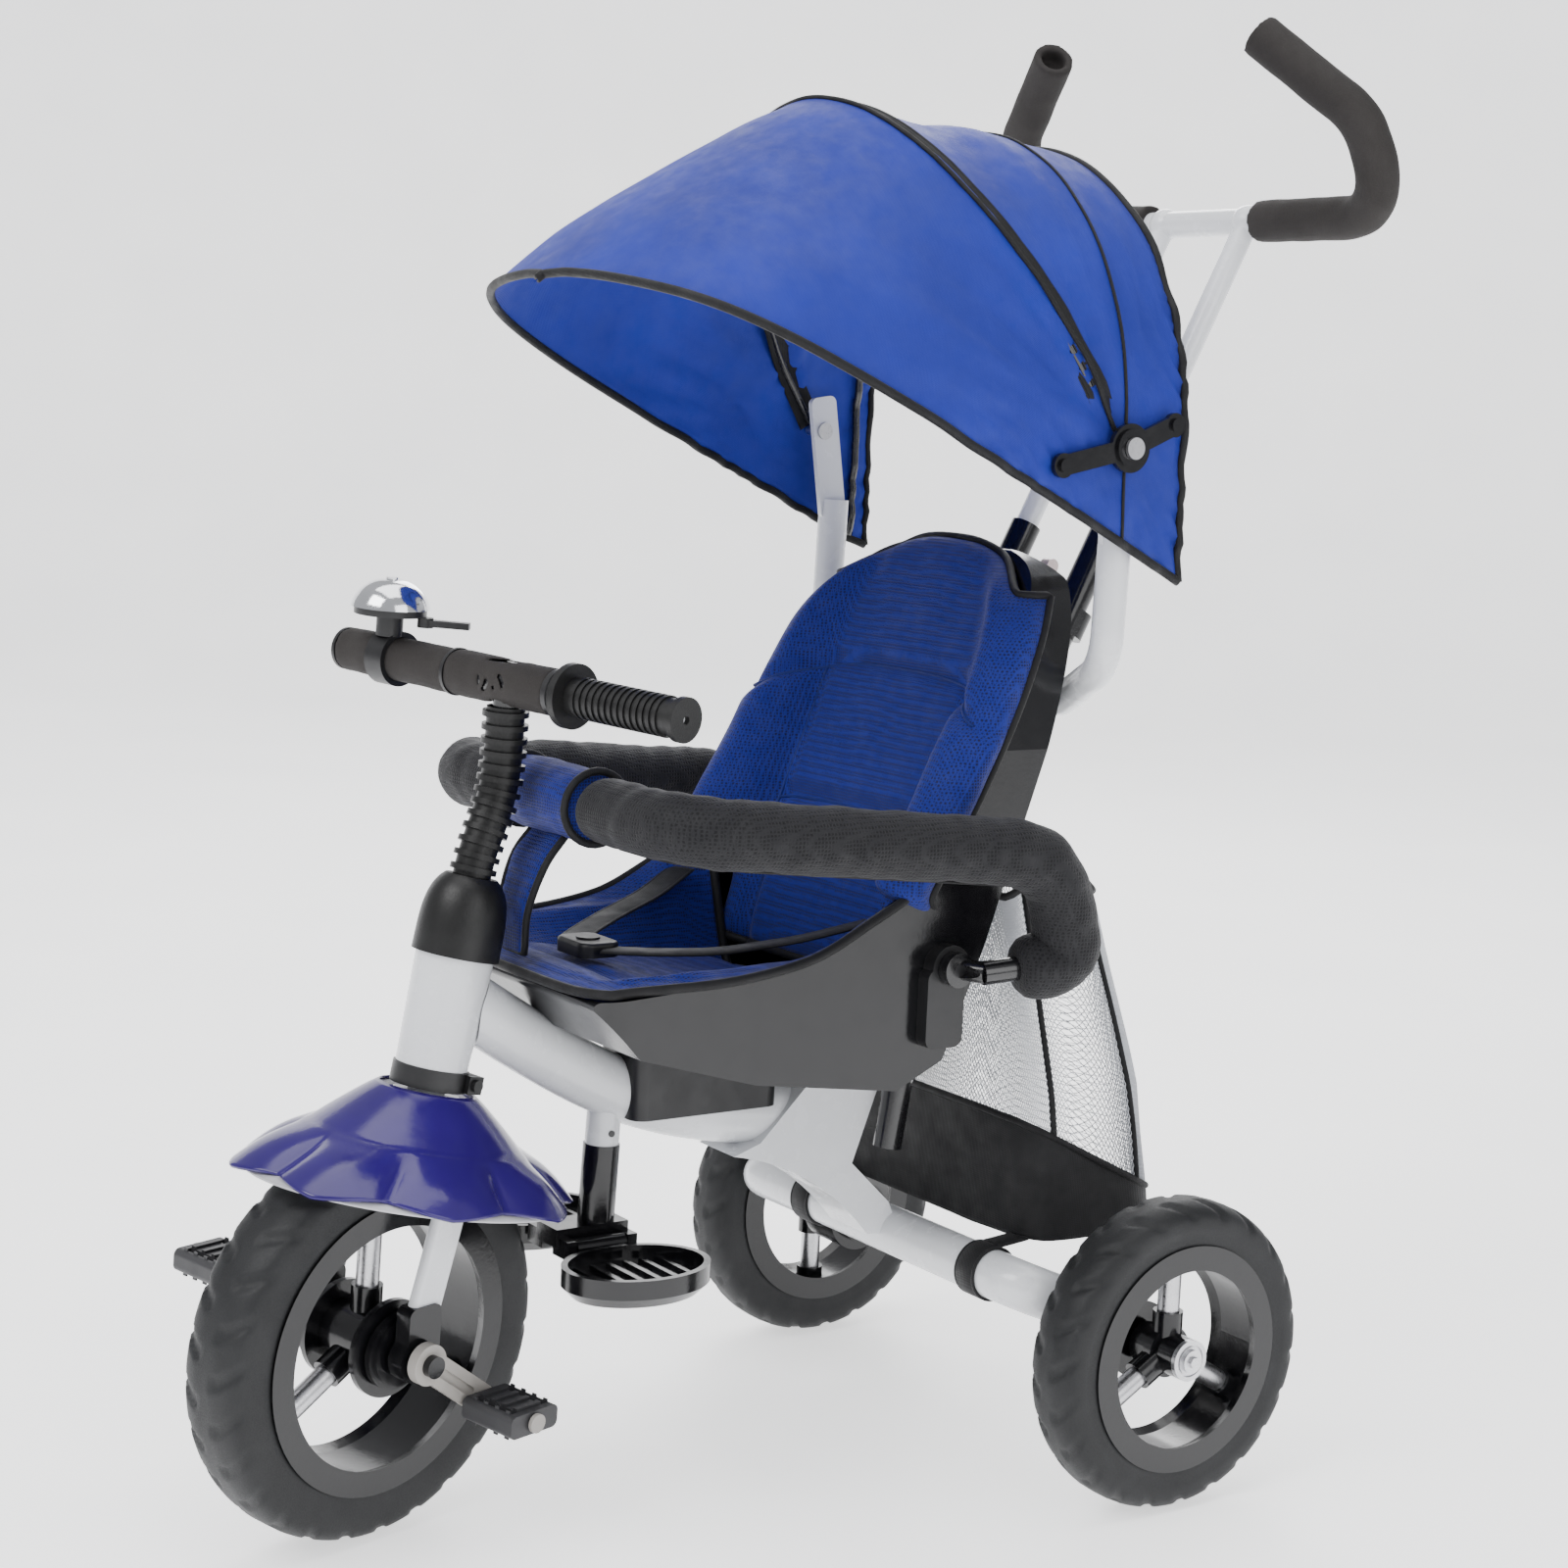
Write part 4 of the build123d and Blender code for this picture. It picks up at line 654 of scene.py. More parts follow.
# rows: distance along Y, half width, height of the springing line, rise of the arch
ARCHES = [
    (-4, 200, 803, 226), (-110, 204, 803, 240), (-220, 204, 803, 244), (-300, 201, 815, 200),
    (-360, 188, 836, 138), (-400, 166, 850, 92), (-430, 128, 864, 52), (-448, 84, 876, 26),
]
EDGE_REAR = 703
EDGE_SLOPE = 0.472
HOOP_ANGLES = (24, 58, 84)  # fan angles of the brim, the middle hoop and the rear wire


def arch_row(y, columns):
    """Points of the hood's cross-section at y, from the left lower edge over the top to the right one."""
    half, spring, rise = table_value(ARCHES, y)
    edge = EDGE_REAR - EDGE_SLOPE * y
    leg = max(0.0, spring - edge)
    start = asin(min(1.0, max(0.0, (edge - spring) / rise)))
    arc = []
    steps = 160
    if leg > 0:
        arc.append((half, edge))
    for i in range(steps + 1):
        angle = start + (pi - 2 * start) * i / steps
        arc.append((half * cos(angle), spring + rise * sin(angle)))
    if leg > 0:
        arc.append((-half, edge))
    line = resample([at(x, y, z) for x, z in arc], 0.001)
    return [line[round(i * (len(line) - 1) / (columns - 1))] for i in range(columns)]


def fan_angle(point):
    return atan2(point.z - PIVOT.z, -(point.y - PIVOT.y)) * 180 / pi


def hood_sag(point):
    """How far the cloth hangs in between its hoops, in metres; a little is negative over a hoop."""
    angle = fan_angle(point)
    sag = 0.0
    for low, high in zip(HOOP_ANGLES, HOOP_ANGLES[1:]):
        if low < angle < high:
            sag = 0.007 * sin(pi * (angle - low) / (high - low)) ** 1.4
    ridge = 0.0025 * exp(-(((angle - HOOP_ANGLES[1]) / 1.6) ** 2))
    reach = (point - Vector((point.x, PIVOT.y, PIVOT.z))).length
    folds = 0.0022 * sin(radians(angle) * 34 + point.x * 9) * exp(-(((reach - 0.1) / 0.09) ** 2))
    above = smooth_step((point.z - PIVOT.z + 0.06) / 0.12)
    return (sag - ridge) * above + folds


def hood_points():
    """Rows of points over the sewn hood, with the cloth's sag and folds worked in."""
    rows, columns = 76, 92
    rear, front = -4, -447
    grid = []
    for i in range(rows):
        t = i / (rows - 1)
        y = rear + (front - rear) * (1 - (1 - t) ** 1.5)
        line = arch_row(y, columns)
        centre = Vector((0, line[0].y, PIVOT.z))
        row = []
        for point in line:
            inward = (centre - point).normalized()
            spot = Vector((point.x * 9, point.y * 9, point.z * 9))
            uneven = 0.0016 * noise.noise(spot) + 0.0007 * noise.noise(spot * 3.1)
            row.append(point + inward * (hood_sag(point) + uneven + 0.0008))
        grid.append(row)
    return grid


def hood():
    """Canopy sheet with bound edges, sewn ribs over its hoops and an inner rib tape."""
    grid = hood_points()
    rows, columns = len(grid), len(grid[0])
    points = [p for row in grid for p in row]
    canopy = mesh_object("canopy", points, grid_faces(rows, columns), MATERIAL["canopy"])
    canopy.data.materials.append(MATERIAL["canopy_inside"])
    middle = canopy.data.polygons[len(canopy.data.polygons) // 2]
    if middle.normal.z < 0:
        canopy.data.flip_normals()
    thick = canopy.modifiers.new("Cloth", "SOLIDIFY")
    thick.thickness = 0.0012
    thick.offset = -1
    thick.material_offset = 1
    apply_modifiers(canopy)
    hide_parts("hood_skin")
    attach(canopy, "hood")
    front = [row[0] for row in grid] + list(grid[-1]) + [row[-1] for row in reversed(grid)]
    trims = [
        tube("canopy_binding_edge", resample(front, 0.006), 0.0034, MATERIAL["binding"], 10),
        tube("canopy_binding_rear", resample(grid[0], 0.006), 0.0032, MATERIAL["binding"], 10),
        tube("canopy_seam_rear", resample(offset_row(grid, 7), 0.006), 0.0013, MATERIAL["binding"], 8),
        tube("canopy_rib_seam", rib_line(grid, HOOP_ANGLES[1], -0.0012), 0.0019, MATERIAL["binding"], 8),
    ]
    hoops(grid)
    inner = rib_line(grid, HOOP_ANGLES[1] + 1.5, 0.0045)
    tape = band("canopy_rib_tape", inner, lambda t: (0, -0.85, -0.53), 0.022, 0.0015, MATERIAL["binding"])
    for piece in trims + [tape]:
        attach(piece, "hood")


def hoops(grid):
    """Bent rods under the cloth: one along each hoop line, ending at the hinge brackets."""
    middle = rib_line(grid, HOOP_ANGLES[1] - 1.0, 0.0055)
    rear = [p + (Vector((0, p.y, PIVOT.z)) - p).normalized() * 0.0052 for p in grid[2]]
    for name, line in (("hood_hoop_middle", middle), ("hood_hoop_rear", resample(rear, 0.006))):
        piece = tube(name, line, 0.0032, MATERIAL["black_paint"], 12)
        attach(piece, "hood")
        if name == "hood_hoop_middle":
            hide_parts("hood_hoops")


def offset_row(grid, index):
    """A row of the hood's grid, lifted just clear of the cloth."""
    centre = Vector((0, grid[index][0].y, PIVOT.z))
    return [p + (p - centre).normalized() * 0.0006 for p in grid[index]]


def rib_line(grid, angle, inside):
    """The line over the hood at one fan angle round the hinge, moved inwards by a distance."""
    turn = radians(angle)

    def ahead(point):
        return (point.y - PIVOT.y) * sin(turn) + (point.z - PIVOT.z) * cos(turn)

    line = []
    for j in range(len(grid[0])):
        for low, high in zip(grid, grid[1:]):
            first, second = ahead(low[j]), ahead(high[j])
            if first * second <= 0 and first != second:
                spot = low[j].lerp(high[j], first / (first - second))
                if spot.z > PIVOT.z + 0.004:
                    centre = Vector((0, spot.y, PIVOT.z))
                    line.append(spot + (centre - spot).normalized() * inside)
                    break
    return resample(line, 0.006)


# ---- cushions -------------------------------------------------------------------------------------
def cushion(name, node, place, normal, up_thickness, down_thickness, rows, columns, limit, material):
    """A closed padded form over a grid of places, crowned on top and flatter beneath, then inflated."""
    points = []
    free = []
    for side, thickness in ((1, up_thickness), (-1, down_thickness)):
        for i in range(rows):
            for j in range(columns):
                u, v = 2 * j / (columns - 1) - 1, i / (rows - 1)
                border = i in (0, rows - 1) or j in (0, columns - 1)
                if side < 0 and border:
                    continue
                points.append(place(u, v) + normal(u, v) * side * thickness(u, v))
                free.append(0.0 if border else limit if side > 0 else limit * 0.25)
    index = {}
    count = rows * columns
    for i in range(rows):
        for j in range(columns):
            border = i in (0, rows - 1) or j in (0, columns - 1)
            if border:
                index[i, j] = i * columns + j
            else:
                index[i, j] = count
                count += 1
    faces = grid_faces(rows, columns)
    for i in range(rows - 1):
        for j in range(columns - 1):
            faces.append((index[i, j], index[i + 1, j], index[i + 1, j + 1], index[i, j + 1]))
    piece = mesh_object(name, points, faces, material)
    puff(piece, free)
    top = [[piece.data.vertices[i * columns + j].co.copy() for j in range(columns)] for i in range(rows)]
    finer = piece.modifiers.new("Finer", "SUBSURF")
    finer.levels = 1
    finer.render_levels = 1
    apply_modifiers(piece)
    wrinkle(piece, 0.0011, 0.035)
    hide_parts(node)
    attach(piece, "frame")
    return top


def border_of(top):
    """The border of a grid of points as one closed loop."""
    left = [row[0] for row in reversed(top[1:-1])]
    right = [row[-1] for row in top[1:-1]]
    return list(top[0]) + right + list(reversed(top[-1])) + left


def trim_line(name, path, radius, closed, body, material="binding"):
    piece = tube(name, resample(path, 0.006, closed), radius, MATERIAL[material], 10, closed)
    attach(piece, body)
    return piece


def edge_ease(distance, reach):
    """Rises from 0 at an edge to 1 at reach, as a rounded side does."""
    t = min(1.0, max(0.0, distance / reach))
    return sqrt(1 - (1 - t) ** 2)


def seam_dip(distance, width):
    return exp(-((distance / width) ** 2))


SEAT_TOP = [(-446, 411), (-430, 410), (-330, 392), (-196, 378), (-185, 377)]
SEAT_RIM = [(-453, 409), (-400, 414), (-290, 428), (-230, 455), (-194, 474)]
SEAT_BASE = [(-446, 404), (-410, 374), (-328, 352), (-207, 336), (-185, 335)]
BACK_FRONT = [(385, -195), (470, -176), (590, -126), (714, -83)]
BACK_REAR = [(385, -156), (433, -136), (571, -88), (714, -40)]
BACK_HALF = [(385, 141), (440, 143), (480, 151), (560, 151), (620, 148), (660, 138), (688, 122), (724, 100)]
WING_FRONT = [(385, -205), (430, -214), (474, -200), (560, -152), (660, -100), (722, -56)]


def seat_cushion():
    """Seat pad of the bucket: a hollow middle, sides that rise over the shell's rim, and sewn lines."""
    def size(u, v):
        half = 151 - 25 * smooth_step((0.4 - v) / 0.4) ** 1.5
        y_front = -453 + 16 * abs(u) ** 6
        return half * u, y_front + (-194 - y_front) * v, half

    def rise_at(u):
        return smooth_step((abs(u) - 0.64) / 0.34)

    def place(u, v):
        x, y, _ = size(u, v)
        low = table_value(SEAT_BASE, y)[0]
        high = table_value(SEAT_TOP, y)[0]
        middle = low + (high - low) * 0.5
        rim = table_value(SEAT_RIM, y)[0]
        front = smooth_step((0.1 - v) / 0.1)
        level_z = middle + (409 - middle) * front
        return at(x, y, level_z + (rim - level_z) * rise_at(u))

    def normal(u, v):
        tilt = 0.75 * rise_at(u) * (1 - smooth_step((abs(u) - 0.94) / 0.06))
        side = 1 if u >= 0 else -1
        return Vector((-side * sin(tilt), 0.1 * cos(tilt), cos(tilt))).normalized()

    def above(u, v):
        _, y, half = size(u, v)
        thickness = (table_value(SEAT_TOP, y)[0] - table_value(SEAT_BASE, y)[0]) * 0.5
        distance = min((1 - abs(u)) * half * 1.3, v * 250, (1 - v) * 250 + 8)
        rise = max(7.0, thickness * (1 - 0.6 * rise_at(u))) * edge_ease(distance, 26)
        seam = 5 * seam_dip((abs(u) - 0.62) * half, 5) * smooth_step((v - 0.14) / 0.1)
        seam += 5 * seam_dip((v - 0.2) * 250, 5) * smooth_step((0.62 - abs(u)) / 0.05)
        return (rise + 3 * (1 - u * u) * sin(pi * v) - seam) * MM

    def below(u, v):
        _, y, half = size(u, v)
        thickness = (table_value(SEAT_TOP, y)[0] - table_value(SEAT_BASE, y)[0]) * 0.42
        distance = min(max(0.0, 0.84 - abs(u)) * half, max(0.0, v - 0.04) * 250, (1 - v) * 250)
        return max(2.0, thickness) * edge_ease(distance, 18) * MM

    rows, columns = 50, 61
    top = cushion(
        "seat_pad", "seat_cushion", place, normal, above, below, rows, columns, 0.004,
        MATERIAL["seat_mesh"],
    )
    trim_line("seat_pad_piping", border_of(top), 0.0036, True, "frame")
    left, right = round(0.19 * (columns - 1)), round(0.81 * (columns - 1))
    for label, column in (("right", left), ("left", right)):
        line = [row[column] + Vector((0, 0, 0.0008)) for row in top[10:-1]]
        trim_line(f"seat_pad_seam_{label}", line, 0.0013, False, "frame", "seam_thread")
    across = [p + Vector((0, 0, 0.0008)) for p in top[10][left:right + 1]]
    trim_line("seat_pad_seam_front", across, 0.0013, False, "frame", "seam_thread")


def back_cushion():
    """Back pad with a headrest panel, a sunk middle panel and bolsters that wrap over the shell's rim."""
    head_seam, low_seam, side_seam, wrap = 0.68, 0.36, 0.56, 0.84
    foot = 388

    def level(v):
        return smooth_step((foot + 330 * v - 440) / 40)

    def size(u, v):
        high = 724 - 36 * min(1.0, abs(u) / wrap) ** 3
        return foot + (high - foot) * v

    def place(u, v):
        z = size(u, v)
        front = table_value(BACK_FRONT, z)[0]
        rear = table_value(BACK_REAR, z)[0]
        hollow = rear + (front - rear) * 0.42
        half = table_value(BACK_HALF, z)[0]
        rim = table_value(WING_FRONT, z)[0] - 5 * level(v)
        inner = min(1.0, abs(u) / wrap)
        side = 1 if u >= 0 else -1
        x = (half - 9) * inner
        y = hollow + (rim - hollow) * smooth_step((inner - 0.6) / 0.4) * level(v)
        if abs(u) > wrap:
            turn = (abs(u) - wrap) / (1 - wrap)
            x += 12 * sin(pi / 2 * min(1.0, turn * 1.4)) * level(v)
            y += 24 * turn**1.6 * level(v)
        return at(side * x, y, z)

    def normal(u, v):
        lean = radians(20)
        outward = smooth_step((abs(u) - wrap + 0.06) / 0.14) * level(v) * 1.3
        forward = Vector((0, -cos(lean), sin(lean)))
        side = Vector((1 if u >= 0 else -1, 0, 0))
        return (forward * cos(outward) + side * sin(outward)).normalized()

    def above(u, v):
        half = table_value(BACK_HALF, size(u, v))[0]
        distance = min((1 - abs(u)) * half * 1.4, v * 320 + 8, (1 - v) * 320)
        bolster = 6 * smooth_step((abs(u) - side_seam) / 0.12) * smooth_step((head_seam - v) / 0.05)
        rise = (17 + bolster - 13 * smooth_step((abs(u) - 0.72) / 0.16)) * edge_ease(distance, 26)
        rise += 3 * cos(pi * u / 2)
        seam = 5.5 * seam_dip((abs(u) - side_seam) * half, 5) * smooth_step((head_seam - v) / 0.03)
        seam += 6 * seam_dip((v - head_seam) * 320, 5) * smooth_step((0.84 - abs(u)) / 0.06)
        seam += 5 * seam_dip((v - low_seam) * 320, 5) * smooth_step((side_seam - abs(u)) / 0.05)
        return (rise - seam) * MM

    def below(u, v):
        distance = min(max(0.0, wrap - abs(u)) * 142, v * 320, (1 - v) * 320)
        return 13 * edge_ease(distance, 16) * MM

    rows, columns = 66, 65
    top = cushion(
        "back_pad", "back_cushion", place, normal, above, below, rows, columns, 0.005,
        MATERIAL["seat_mesh"],
    )
    trim_line("back_pad_piping", border_of(top), 0.0034, True, "frame")
    lift = Vector((0, -0.0008, 0.0003))
    head_row, low_row = round(head_seam * (rows - 1)), round(low_seam * (rows - 1))
    left, right = round((1 - side_seam) / 2 * (columns - 1)), round((1 + side_seam) / 2 * (columns - 1))
    edge = round((1 - wrap) / 2 * (columns - 1))
    head_line = [p + lift for p in top[head_row][edge:columns - edge]]
    trim_line("back_pad_head_seam", head_line, 0.0014, False, "frame", "seam_thread")
    low_line = [p + lift for p in top[low_row][left:right + 1]]
    trim_line("back_pad_low_seam", low_line, 0.0012, False, "frame", "seam_thread")
    for column, label in ((left, "right"), (right, "left")):
        line = [row[column] + lift for row in top[4:head_row + 1]]
        trim_line(f"back_pad_{label}_seam", line, 0.0013, False, "frame", "seam_thread")


# ---- guard bar ------------------------------------------------------------------------------------
GUARD_CORNERS = [(194, -133, 419), (206, -92, 424), (212, -118, 506), (176, -412, 531), (57, -412, 531)]


def guard():
    """Sleeved pads on the guard's two arms, the blue wrap at its middle and the strap below it."""
    for side, label in ((1, "left"), (-1, "right")):
        corners = [at(side * x, y, z) for x, y, z in GUARD_CORNERS]
        path = resample(round_corners(corners, 0.062, steps=12), 0.005)

        def gathers(t, angle):
            end = edge_ease(min(t, 1 - t), 0.03)
            ripple = 0.02 * sin(t * 130 + 2 * sin(angle)) * (0.4 + 0.6 * sin(6 * t) ** 2)
            return 0.72 + 0.28 * end + ripple

        sleeve = tube(f"guard_sleeve_{label}", path, 0.0245, MATERIAL["sleeve_mesh"], 36, shape=gathers)
        wrinkle(sleeve, 0.0018, 0.03)
        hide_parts("guard_pads")
        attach(sleeve, "guard")
        seam = [p - Vector((0, 0, 0.0242)) for p in path[14:-6]]
        trim_line(f"guard_sleeve_seam_{label}", seam, 0.0013, False, "guard")
    ends = [at(-53, -412, 531), at(53, -412, 531)]
    wrap = tube(
        "guard_middle_wrap", resample(ends, 0.003), 0.0268, MATERIAL["wrap_mesh"], 48,
        shape=lambda t, angle: 0.97 + 0.035 * sin(pi * t) + 0.008 * sin(3 * angle + 20 * t),
    )
    wrinkle(wrap, 0.0014, 0.022)
    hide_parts("guard_wrap")
    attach(wrap, "guard")
    for x, label in ((-52.5, "right"), (52.5, "left")):
        loop = [at(x, -412 + 26.6 * cos(a * pi / 16), 531 + 26.6 * sin(a * pi / 16)) for a in range(32)]
        trim_line(f"guard_wrap_piping_{label}", loop, 0.003, True, "guard")
    crotch_strap()


CROTCH = [(0.0, -419, 508, 24), (0.35, -436, 486, 24), (0.7, -447, 452, 20), (1.0, -446, 421, 15)]


def crotch_strap():
    """Padded blue strap that hangs from the wrap down to the seat's front edge."""
    rows, columns = 30, 17
    points = []
    edges = {-1: [], 1: []}
    for i in range(rows):
        t = i / (rows - 1)
        y, z, half = table_value(CROTCH, t)
        for j in range(columns):
            u = 2 * j / (columns - 1) - 1
            crown = 3.2 * edge_ease(1 - abs(u), 0.5)
            points.append(at(half * u, y - crown - 0.5, z))
        for side in (-1, 1):
            edges[side].append(at(side * half, y, z))
    front = len(points)
    for i in range(rows):
        t = i / (rows - 1)
        y, z, half = table_value(CROTCH, t)
        for j in range(columns):
            u = 2 * j / (columns - 1) - 1
            points.append(at(half * u, y + 2.6 * edge_ease(1 - abs(u), 0.5) + 0.5, z))
    faces = grid_faces(rows, columns)
    faces += [tuple(k + front for k in face) for face in grid_faces(rows, columns)]
    for i in range(rows - 1):
        for j in (0, columns - 1):
            a, b = i * columns + j, (i + 1) * columns + j
            faces.append((a, b, b + front, a + front))
    for j in range(columns - 1):
        for i in (0, rows - 1):
            a, b = i * columns + j, i * columns + j + 1
            faces.append((a, b, b + front, a + front))
    strap = mesh_object("crotch_pad", points, faces, MATERIAL["wrap_mesh"])
    wrinkle(strap, 0.0009, 0.02)
    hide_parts("crotch_strap")
    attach(strap, "guard")
    around = edges[-1] + list(reversed(edges[1]))
    trim_line("crotch_pad_piping", around, 0.0028, False, "guard")


# ---- storage bag ----------------------------------------------------------------------------------
# rows: height, half width, y of the front wall, y of the rear wall
BAG_STATIONS = [(188, 160, -74, 66), (300, 132, -66, 62), (460, 76, -54, 46)]


def bag_width(z):
    """Half width and the two wall places of the bag at a height, between straight-sided stations."""
    for low, high in zip(BAG_STATIONS, BAG_STATIONS[1:]):
        if z <= high[0]:
            t = max(0.0, (z - low[0]) / (high[0] - low[0]))
            return [low[i] + (high[i] - low[i]) * t for i in (1, 2, 3)]
    return list(BAG_STATIONS[-1][1:])


def panel_height(y):
    """Height of the slanted seam between the net and the panel below it."""
    return 292 + (206 - 292) * (y + 90) / 170


def bag_point(turn, z):
    """A place on the bag's wall: turn runs once round the bag, z is the height in millimetres."""
    half, front, rear = bag_width(z)
    depth, middle = (rear - front) / 2, (rear + front) / 2
    angle = 2 * pi * turn
    power = 0.34
    x = half * (abs(cos(angle)) ** power) * (1 if cos(angle) >= 0 else -1)
    y = depth * (abs(sin(angle)) ** power) * (1 if sin(angle) >= 0 else -1)
    spot = Vector((3 * cos(angle), 3 * sin(angle), z / 60))
    slack = 1 + 0.02 * sin(pi * (z - 188) / 272) + 0.012 * noise.noise(spot)
    return at(x * slack, middle + y * slack, z)


def rim_height(turn):
    """The net's upper edge dips between the places where it hangs."""
    return 456 - 9 * sin(2 * pi * turn * 2) ** 2


def net_wall():
    """Diamond-meshed net wall of the bag, as thin round strands."""
    rows, columns = 73, 190
    points = []
    for i in range(rows):
        t = i / (rows - 1)
        for j in range(columns):
            turn = (j + (0.5 if i % 2 else 0)) / columns
            y = (bag_point(turn, 250).y - REAR_AXLE.y) / MM
            low = panel_height(y) + 1.0
            high = rim_height(turn)
            points.append(bag_point(turn, low + (high - low) * t))
    faces = []
    for i in range(rows - 2):
        for j in range(columns):
            left, right = (j - 1, j) if i % 2 == 0 else (j, j + 1)
            faces.append((
                i * columns + j, (i + 1) * columns + right % columns,
                (i + 2) * columns + j, (i + 1) * columns + left % columns,
            ))
    net = mesh_object("bag_net_wall", points, faces, MATERIAL["net"])
    strands = net.modifiers.new("Strands", "WIREFRAME")
    strands.thickness = 0.00095
    strands.use_even_offset = False
    apply_modifiers(net)
    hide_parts("bag_net")
    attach(net, "frame")


def panel_wall():
    """Plain black cloth of the bag below the seam, with its floor."""
    rows, columns = 26, 120
    points = []
    for i in range(rows):
        t = i / (rows - 1)
        for j in range(columns):
            turn = j / columns
            y = (bag_point(turn, 230).y - REAR_AXLE.y) / MM
            points.append(bag_point(turn, 191 + (panel_height(y) - 191) * t))
    faces = grid_faces(rows, columns, wrap=True)
    rings = 12
    centre = at(0, -4, 190)
    for k in range(1, rings):
        for j in range(columns):
            share = 1 - k / rings
            droop = Vector((0, 0, -0.0035 * (1 - share) * share * 4))
            points.append(centre + (points[j] - centre) * share + droop)
    inner = rows * columns
    for j in range(columns):
        n = (j + 1) % columns
        faces.append((j, n, inner + n, inner + j))
        for k in range(rings - 2):
            a = inner + k * columns
            faces.append((a + j, a + n, a + columns + n, a + columns + j))
    last = inner + (rings - 2) * columns
    faces.append(tuple(last + j for j in range(columns)))
    panel = mesh_object("bag_panel_cloth", points, faces, MATERIAL["bag_cloth"])
    thick = panel.modifiers.new("Cloth", "SOLIDIFY")
    thick.thickness = 0.0014
    apply_modifiers(panel)
    wrinkle(panel, 0.0016, 0.045)
    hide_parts("bag_panel")
    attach(panel, "frame")
    seam = []
    for j in range(160):
        turn = j / 160
        y = (bag_point(turn, 250).y - REAR_AXLE.y) / MM
        seam.append(bag_point(turn, panel_height(y)))
    trim_line("bag_seam_cord", seam, 0.0028, True, "frame")
    rim = [bag_point(j / 160, rim_height(j / 160)) for j in range(160)]
    trim_line("bag_rim_cord", rim, 0.0034, True, "frame")
    corners = (
        (0.035, "left_rear"), (0.465, "right_rear"), (0.535, "right_front"), (0.965, "left_front"),
    )
    for turn, label in corners:
        y = (bag_point(turn, 250).y - REAR_AXLE.y) / MM
        low, high = panel_height(y), rim_height(turn)
        line = [bag_point(turn, low + (high - low) * k / 20) for k in range(21)]
        trim_line(f"bag_corner_cord_{label}", line, 0.0026, False, "frame")


# ---- straps ---------------------------------------------------------------------------------------
def strap_piece(name, corners, across, width, thickness):
    path = resample(round_corners(corners, 0.016, steps=6), 0.004)
    piece = band(name, path, lambda t: across, width, thickness, MATERIAL["strap"])
    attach(piece, "frame")
    return piece


def straps():
    """Lap belt and the loops that hang the bag; the small buckles stay as CAD pieces."""
    first = None
    for side, label in ((1, "left"), (-1, "right")):
        run = [(23, -384, 420), (50, -356, 421), (78, -320, 424), (104, -266, 434), (128, -222, 448)]
        corners = [at(side * x, y, z) for x, y, z in run]
        belt = strap_piece(f"lap_belt_{label}", corners, (0.84 * side, -0.54, 0.0), 0.024, 0.0022)
        first = first or belt
        top = [at(side * 50, -58 + 6 * k / 6, 488 - 11 * k) for k in range(7)]
        strap_piece(f"bag_hanger_{label}", top, (1, 0, 0), 0.02, 0.0025)
        stem_up = Vector((0, sin(radians(27.7)), cos(radians(27.7))))
        loop_centre = at(side * 50, -5, 622) - stem_up * 0.16
        across = stem_up.cross(Vector((1, 0, 0)))
        loop = []
        for a in range(37):
            turn = a * pi / 18
            sideways = Vector((1, 0, 0)) * 0.0128 * cos(turn)
            loop.append(loop_centre + sideways + across * 0.0128 * sin(turn))
        ring_band = band(f"bag_loop_{label}", loop, lambda t: stem_up, 0.022, 0.0022, MATERIAL["strap"])
        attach(ring_band, "frame")
    for x, label in ((-87, "right"), (136, "left")):
        loop = [at(x, -100 + 20.4 * cos(a * pi / 18), 169 + 20.4 * sin(a * pi / 18)) for a in range(37)]
        piece = band(f"rear_loop_{label}", loop, lambda t: (1, 0, 0), 0.024, 0.0022, MATERIAL["strap"])
        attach(piece, "frame")
        tail = [at(x, -95, 189.5), at(x, -82, 190.5), at(x, -66, 192)]
        strap_piece(f"rear_loop_tail_{label}", tail, (1, 0, 0), 0.02, 0.0022)
    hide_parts("webbing")


# ---- foam -----------------------------------------------------------------------------------------
def foam_parts():
    """Foam grips of the push handle and foam tubes of the handlebar."""
    for name, node, body, depth in (
        ("push_grip_foam", "handle_grips", "push_handle", 0.0006),
        ("bar_pad_foam", "bar_pads", "steering", 0.0006),
    ):
        piece = soften(name, node, MATERIAL["foam"], 0.0022, depth, 0.02, rounds=3)
        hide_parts(node)
        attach(piece, body)


# ---- studio ---------------------------------------------------------------------------------------
def pale_floor():
    """One pale sweep: floor with a wall that rises far behind, slightly uneven in tone."""
    rows = []
    for i in range(60):
        t = i / 59
        distance = -6 + 14 * t
        rise = max(0.0, distance - 5.0) ** 2 * 0.6
        rows.append((distance, rise))
    across = 40
    points = []
    heading = radians(55.4)
    back = Vector((-sin(heading), cos(heading), 0))
    side = Vector((cos(heading), sin(heading), 0))
    for distance, rise in rows:
        for j in range(across):
            spot = back * distance + side * (j / (across - 1) - 0.5) * 18
            points.append(Vector((spot.x, spot.y, rise - 0.0004)))
    floor = mesh_object("studio_floor", points, grid_faces(len(rows), across), floor_material())


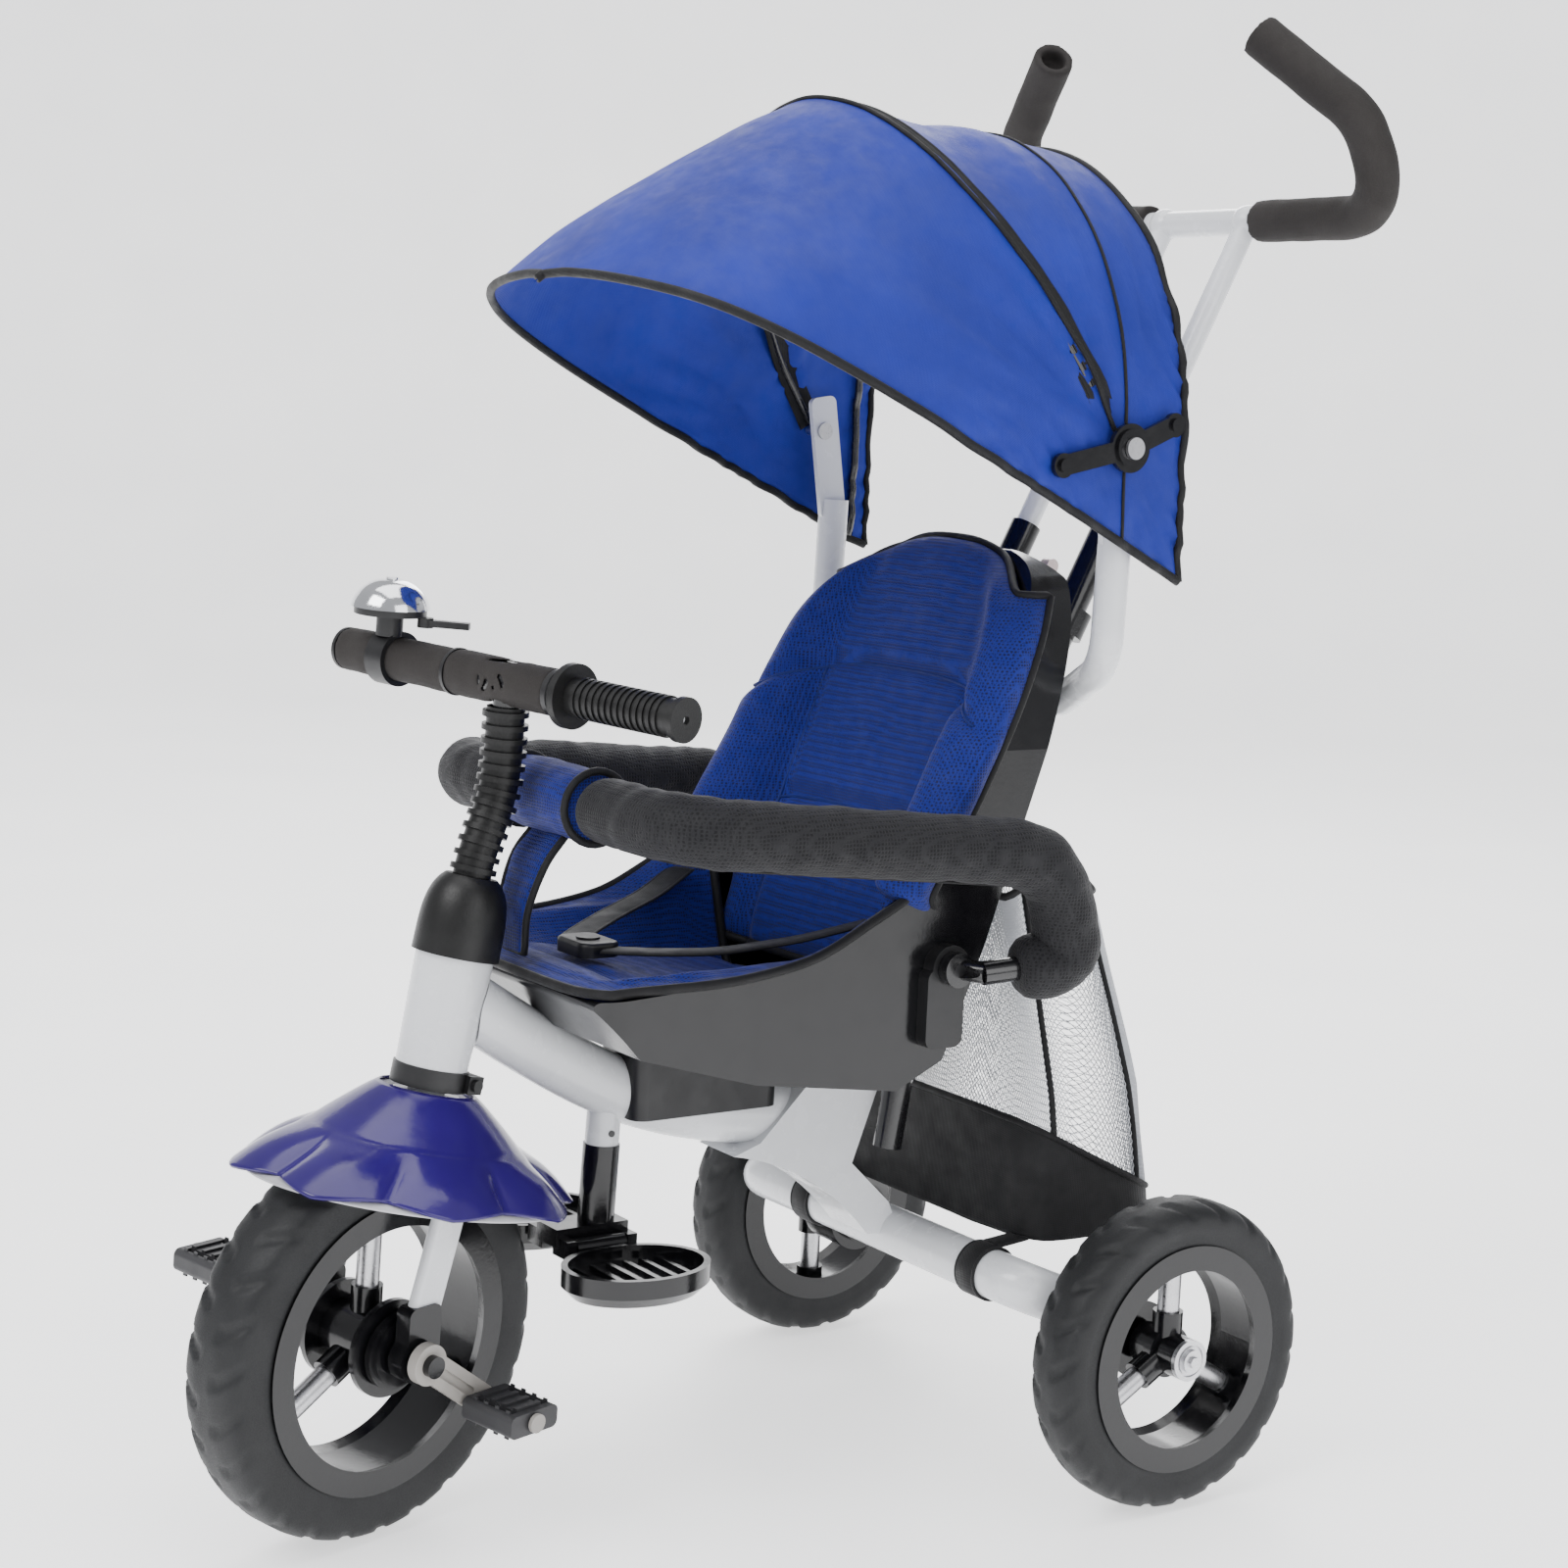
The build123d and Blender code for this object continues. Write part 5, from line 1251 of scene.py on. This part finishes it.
def floor_material():
    s = Shader("studio_floor", 0.6)
    tone = s.blend_colours(s.ramp(s.noise(3, 3), 0.3, 0.7), (0.93, 0.93, 0.935), (0.97, 0.97, 0.97))
    s.colour(tone)
    s.feed(s.bsdf.inputs["Emission Color"], tone)
    s.bsdf.inputs["Emission Strength"].default_value = 1.1
    s.rough(s.ramp(s.noise(12, 4), 0.3, 0.7, 0.5, 0.7))
    s.bump(s.noise(160, 3), 0.05, 0.0004)
    return s.material


def area_light(name, place, target, size, power, tone=(1, 1, 1)):
    light = bpy.data.lights.new(name, "AREA")
    light.shape = "RECTANGLE"
    light.size, light.size_y = size
    light.energy = power
    light.color = tone
    lamp = bpy.data.objects.new(name, light)
    bpy.context.scene.collection.objects.link(lamp)
    lamp.location = place
    lamp.rotation_euler = (Vector(target) - Vector(place)).to_track_quat("-Z", "Y").to_euler()
    return lamp


def studio_light():
    middle = (0, 0, 0.5)
    area_light("key", (0.4, -3.0, 3.2), middle, (2.6, 2.0), 120)
    area_light("fill", (3.6, 0.2, 1.8), middle, (2.4, 2.4), 46)
    area_light("overhead", (0, 0.2, 3.8), middle, (3.2, 3.2), 90)
    area_light("rim", (-2.6, 2.2, 2.6), middle, (1.6, 2.2), 60)
    world = bpy.data.worlds.new("studio")
    bpy.context.scene.world = world
    world.use_nodes = True
    background = world.node_tree.nodes["Background"]
    background.inputs["Color"].default_value = (0.95, 0.96, 1.0, 1)
    background.inputs["Strength"].default_value = 0.6


def camera():
    """Three-quarter view from the rider's left front, a little above the seat."""
    turn, lift, roll = 0.9664, 0.1322, 0.0433
    back = Vector((sin(turn) * cos(lift), -cos(turn) * cos(lift), sin(lift)))
    right = Vector((cos(turn), sin(turn), 0))
    up = back.cross(right)
    right, up = right * cos(roll) + up * sin(roll), up * cos(roll) - right * sin(roll)
    lens = bpy.data.cameras.new("camera")
    lens.sensor_width = 36
    lens.lens = 65.6
    view = bpy.data.objects.new("camera", lens)
    bpy.context.scene.collection.objects.link(view)
    place = Vector((1.794, -1.4525 + REAR_AXLE.y, 0.8233))
    view.matrix_world = Matrix.Translation(place) @ Matrix((right, up, back)).transposed().to_4x4()
    bpy.context.scene.camera = view


finish_cad()
tyres()
fender_cover()
fender_lining()
hood()
seat_cushion()
back_cushion()
guard()
net_wall()
panel_wall()
straps()
foam_parts()
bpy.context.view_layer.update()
pale_floor()
studio_light()
camera()
